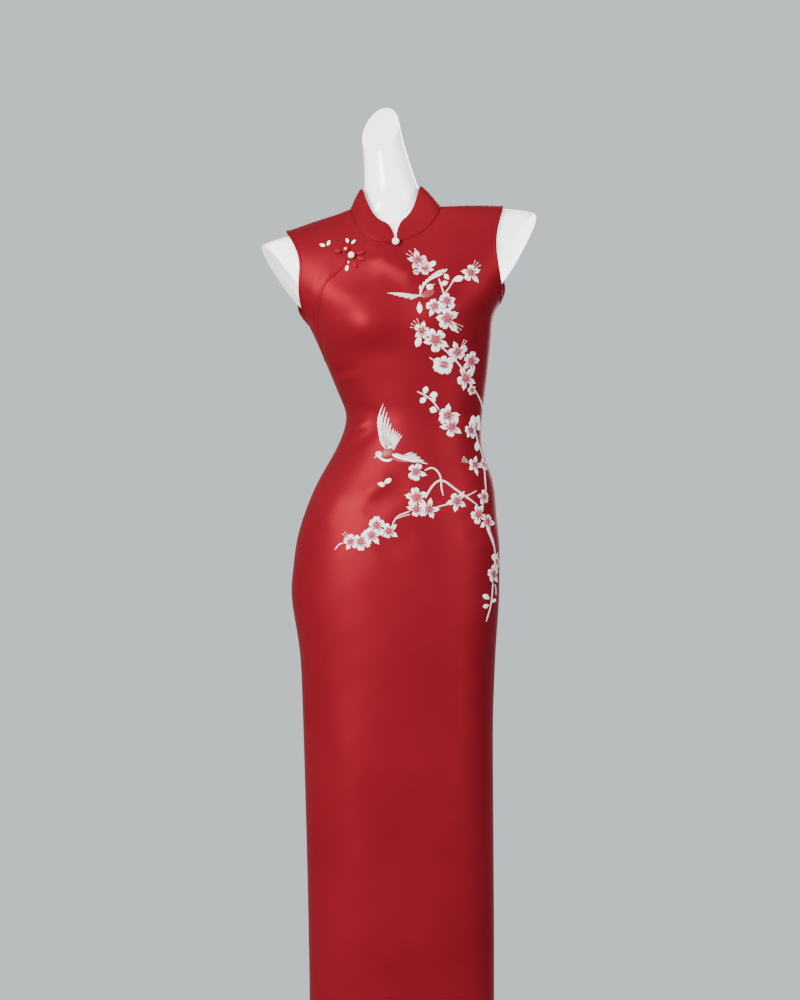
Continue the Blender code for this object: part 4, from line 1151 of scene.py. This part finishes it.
def shoulder_cutter(name, x, w, lean, turn):
    side = -1 if x < 0 else 1
    foot_x = x - side * (w - CUT_LEDGE) * lean
    foot = Vector((foot_x, 0, CUT_LEDGE + TILT * (foot_x - TILT_X)))
    up = Vector((side * lean, 0, 1 + TILT * side * lean)) * CUT_BLOCK
    across = Vector((side * turn, 1, TILT * side * turn)) * CUT_BLOCK
    away = Vector((side, 0, TILT * side)) * CUT_BLOCK
    return cutter(name, foot - across / 2, (up, across, away))


def neck_cutter():
    x, z, lean, rake = NECK_CUT
    across = Vector((1, 0, lean)) * CUT_BLOCK
    behind = Vector((0, 1, rake)) * CUT_BLOCK
    corner = Vector((x, 0, z)) - across / 2 - behind / 2
    return cutter("neck_cutter", corner, (across, behind, Vector((0, 0, CUT_BLOCK))))


def dress_form():
    """The torso from the hips to the neck, with flat cut shoulders and a slanting neck cut."""
    sides = 128
    turns = around(sides)
    heights = (FORM_FOOT, FORM_FOOT + FOOT_ROUND, 1.26, 1.47, FORM_TOP)
    rows = joined(*(np.linspace(*stretch) for stretch in zip(heights, heights[1:], (10, 70, 100, 50))))
    foot = np.clip(1 - (rows - FORM_FOOT) / FOOT_ROUND, 0, 1) ** 2
    pinched = sum(amount * np.exp(-((rows - w) / reach) ** 2) for w, amount, reach in PINCHES)
    shrink = 1 - FOOT_SHRINK * foot - pinched
    rings = []
    for w, scale in zip(rows, shrink):
        power = float(size("square", w))
        bend = np.sign(np.sin(turns)) * np.abs(np.sin(turns)) ** (2 / power)
        middle = float(size("middle", w))
        reach = np.where(bend < 0, middle - size("left", w), size("right", w) - middle) * bend
        points = on_figure(middle + reach, w, np.cos(turns) > 0)
        centre = np.array([middle, float(size("side_y", w))])
        points[:, :2] = centre + (points[:, :2] - centre) * scale
        rings.append(points)
    ids = np.arange(len(rings) * sides).reshape(-1, sides)
    faces = [*ring_faces(ids, closed=False), ids[0][::-1], ids[-1]]
    form = piece("dress_form", np.concatenate(rings), faces, GLOSS, sharp=40)
    blocks = [shoulder_cutter(f"shoulder_cutter_{i}", *cut) for i, cut in enumerate(SHOULDER_CUTS)]
    blocks.append(neck_cutter())
    for block in blocks:
        cut = form.modifiers.new(block.name, "BOOLEAN")
        cut.operation = "DIFFERENCE"
        cut.object = block
    evaluated = form.evaluated_get(bpy.context.evaluated_depsgraph_get())
    mesh = bpy.data.meshes.new_from_object(evaluated)
    form.modifiers.clear()
    form.data = mesh
    for block in blocks:
        bpy.data.objects.remove(block)
    bm = bmesh.new()
    bm.from_mesh(mesh)
    bmesh.ops.remove_doubles(bm, verts=bm.verts, dist=0.00002)
    bmesh.ops.dissolve_degenerate(bm, dist=0.00002, edges=bm.edges)
    bm.to_mesh(mesh)
    bm.free()
    shade(mesh, 30)
    return form


form = dress_form()


def turned(name, profile, look):
    """A solid turned about the z axis; its profile starts and ends on the axis."""
    sides = 96
    turns = around(sides)
    radius, height = (np.array(column)[:, None] for column in zip(*profile[1:-1]))
    rings = np.stack([radius * np.cos(turns), radius * np.sin(turns), height + 0 * turns], axis=-1)
    rings = rings.reshape(-1, 3)
    ids = np.arange(len(rings)).reshape(-1, sides)
    after = np.roll(ids, -1, axis=1)
    foot, top = len(rings), len(rings) + 1
    caps = [(foot, b, a) for a, b in zip(ids[0], after[0])]
    caps += [(top, a, b) for a, b in zip(ids[-1], after[-1])]
    ends = [(0, 0, profile[end][1]) for end in (0, -1)]
    return piece(name, [*rings, *ends], [*ring_faces(ids, closed=False), *caps], look, sharp=35)


def rounded(low, high, radius, bevel, corners=(False, True)):
    """A disc's profile from the axis out and back, with its lower or upper corner rounded."""
    quarter = np.linspace(0, math.pi / 2, 7)
    core = radius - bevel
    below = [(core + bevel * math.sin(a), low + bevel - bevel * math.cos(a)) for a in quarter]
    above = [(core + bevel * math.cos(a), high - bevel + bevel * math.sin(a)) for a in quarter]
    return [(0, low), *(below if corners[0] else [(radius, low)]),
            *(above if corners[1] else [(radius, high)]), (0, high)]


base = turned("base_plate", rounded(0, 0.012, 0.17, 0.003), STEEL)
boss = turned("base_boss", ((0, 0.0123), (0.03, 0.0123), (0.03, 0.0153), (0.022, 0.030), (0.0155, 0.0423),
                            (0, 0.0423)), STEEL)
pole = turned("pole", rounded(0.0426, 0.6771, 0.0125, 0.0005), STEEL)
socket = turned("pole_socket", rounded(0.6777, 0.6997, 0.032, 0.003, (True, False)), STEEL)


# ---------------------------------------------------------------- riding and replacing

REPLACED = (
    (front, "front_panel"), (underlap, "front_underlap"), (back, "back_panel"), (collar, "collar"),
    (binding_left, "armhole_binding_left"), (binding_right, "armhole_binding_right"),
    (knot_cords, "knot_coil", *(f"knot_loop_{i}" for i in range(1, 5))),
    (knot_petals, *(f"knot_petal_{i}" for i in range(1, 6)), "knot_bead_1", "knot_bead_2"),
    (knot_pearl, "knot_pearl"), (collar_pearl, "collar_pearl"), (form, "form_body"),
    (base, "stand_base"), (boss, "stand_boss"), (pole, "stand_pole"), (socket, "form_socket"),
)
for made, *nodes in REPLACED:
    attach(made, "root")
    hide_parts(*nodes)
for made in (roll, collar_seam, *stitched):
    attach(made, "root")


# ---------------------------------------------------------------- floor, light and camera

def floor():
    """A pale floor close round the stand, which fades into the backdrop."""
    half = 6.0
    mesh = bpy.data.meshes.new("floor")
    corners = ((-half, -half, 0), (half, -half, 0), (half, half, 0), (-half, half, 0))
    mesh.from_pydata(corners, [], [(0, 1, 2, 3)])
    made, nodes, shader = new_material("pale_floor")
    fill(shader, Base_Color=(0.40, 0.42, 0.43, 1), Roughness=0.8)
    place = nodes.new("ShaderNodeTexCoord")
    length = nodes.new("ShaderNodeVectorMath")
    length.operation = "LENGTH"
    fade = add_node(nodes, "ShaderNodeMapRange", From_Min=0.25, From_Max=0.62)
    fade.interpolation_type = "SMOOTHSTEP"
    clear = nodes.new("ShaderNodeBsdfTransparent")
    mix = nodes.new("ShaderNodeMixShader")
    link(place, "Object", length, 0)
    link(length, "Value", fade, "Value")
    link(fade, "Result", mix, "Fac")
    link(shader, "BSDF", mix, 1)
    link(clear, "BSDF", mix, 2)
    link(mix, "Shader", nodes["Material Output"], "Surface")
    mesh.materials.append(made)
    obj = add_object("floor", mesh)
    obj.location.z = -0.0005


def world():
    """The camera sees the backdrop's colour; the light comes from a dimmer and paler one."""
    made = bpy.data.worlds.new("studio")
    made.use_nodes = True
    nodes = made.node_tree.nodes
    seen = nodes["Background"]
    fill(seen, Color=(0.578, 0.624, 0.644, 1), Strength=1.28)
    light = add_node(nodes, "ShaderNodeBackground", Color=(0.92, 0.96, 1.0, 1), Strength=0.60)
    path = nodes.new("ShaderNodeLightPath")
    mix = nodes.new("ShaderNodeMixShader")
    link(path, "Is Camera Ray", mix, "Fac")
    link(light, "Background", mix, 1)
    link(seen, "Background", mix, 2)
    link(mix, "Shader", nodes["World Output"], "Surface")
    bpy.context.scene.world = made


def area_light(name, place, target, width, height, power, colour=(1, 1, 1)):
    data = bpy.data.lights.new(name, "AREA")
    data.shape = "RECTANGLE"
    data.size, data.size_y, data.energy, data.color = width, height, power, colour
    obj = add_object(name, data)
    obj.location = place
    obj.rotation_euler = (Vector(target) - Vector(place)).to_track_quat("-Z", "Y").to_euler()


floor()
world()
area_light("key", (-2.0, -2.9, 2.0), (0, 0, 1.0), 1.4, 2.0, 370, (1.0, 0.99, 0.97))
area_light("fill", (2.6, -2.2, 1.5), (0, 0, 0.9), 1.6, 2.0, 105, (0.95, 0.98, 1.0))
area_light("top", (0.0, -0.4, 3.2), (0, 0, 1.0), 2.0, 1.4, 8)
area_light("behind", (0.6, 2.6, 1.8), (0, 0, 1.0), 2.0, 1.6, 70)

camera_data = bpy.data.cameras.new("camera")
camera_data.sensor_width = 36
camera_data.sensor_fit = "AUTO"
camera_data.lens = 80.7
camera = add_object("camera", camera_data)
camera.location = (0.00165, -3.7, 0.9735)
camera.rotation_euler = (math.pi / 2, 0, 0)
bpy.context.scene.camera = camera
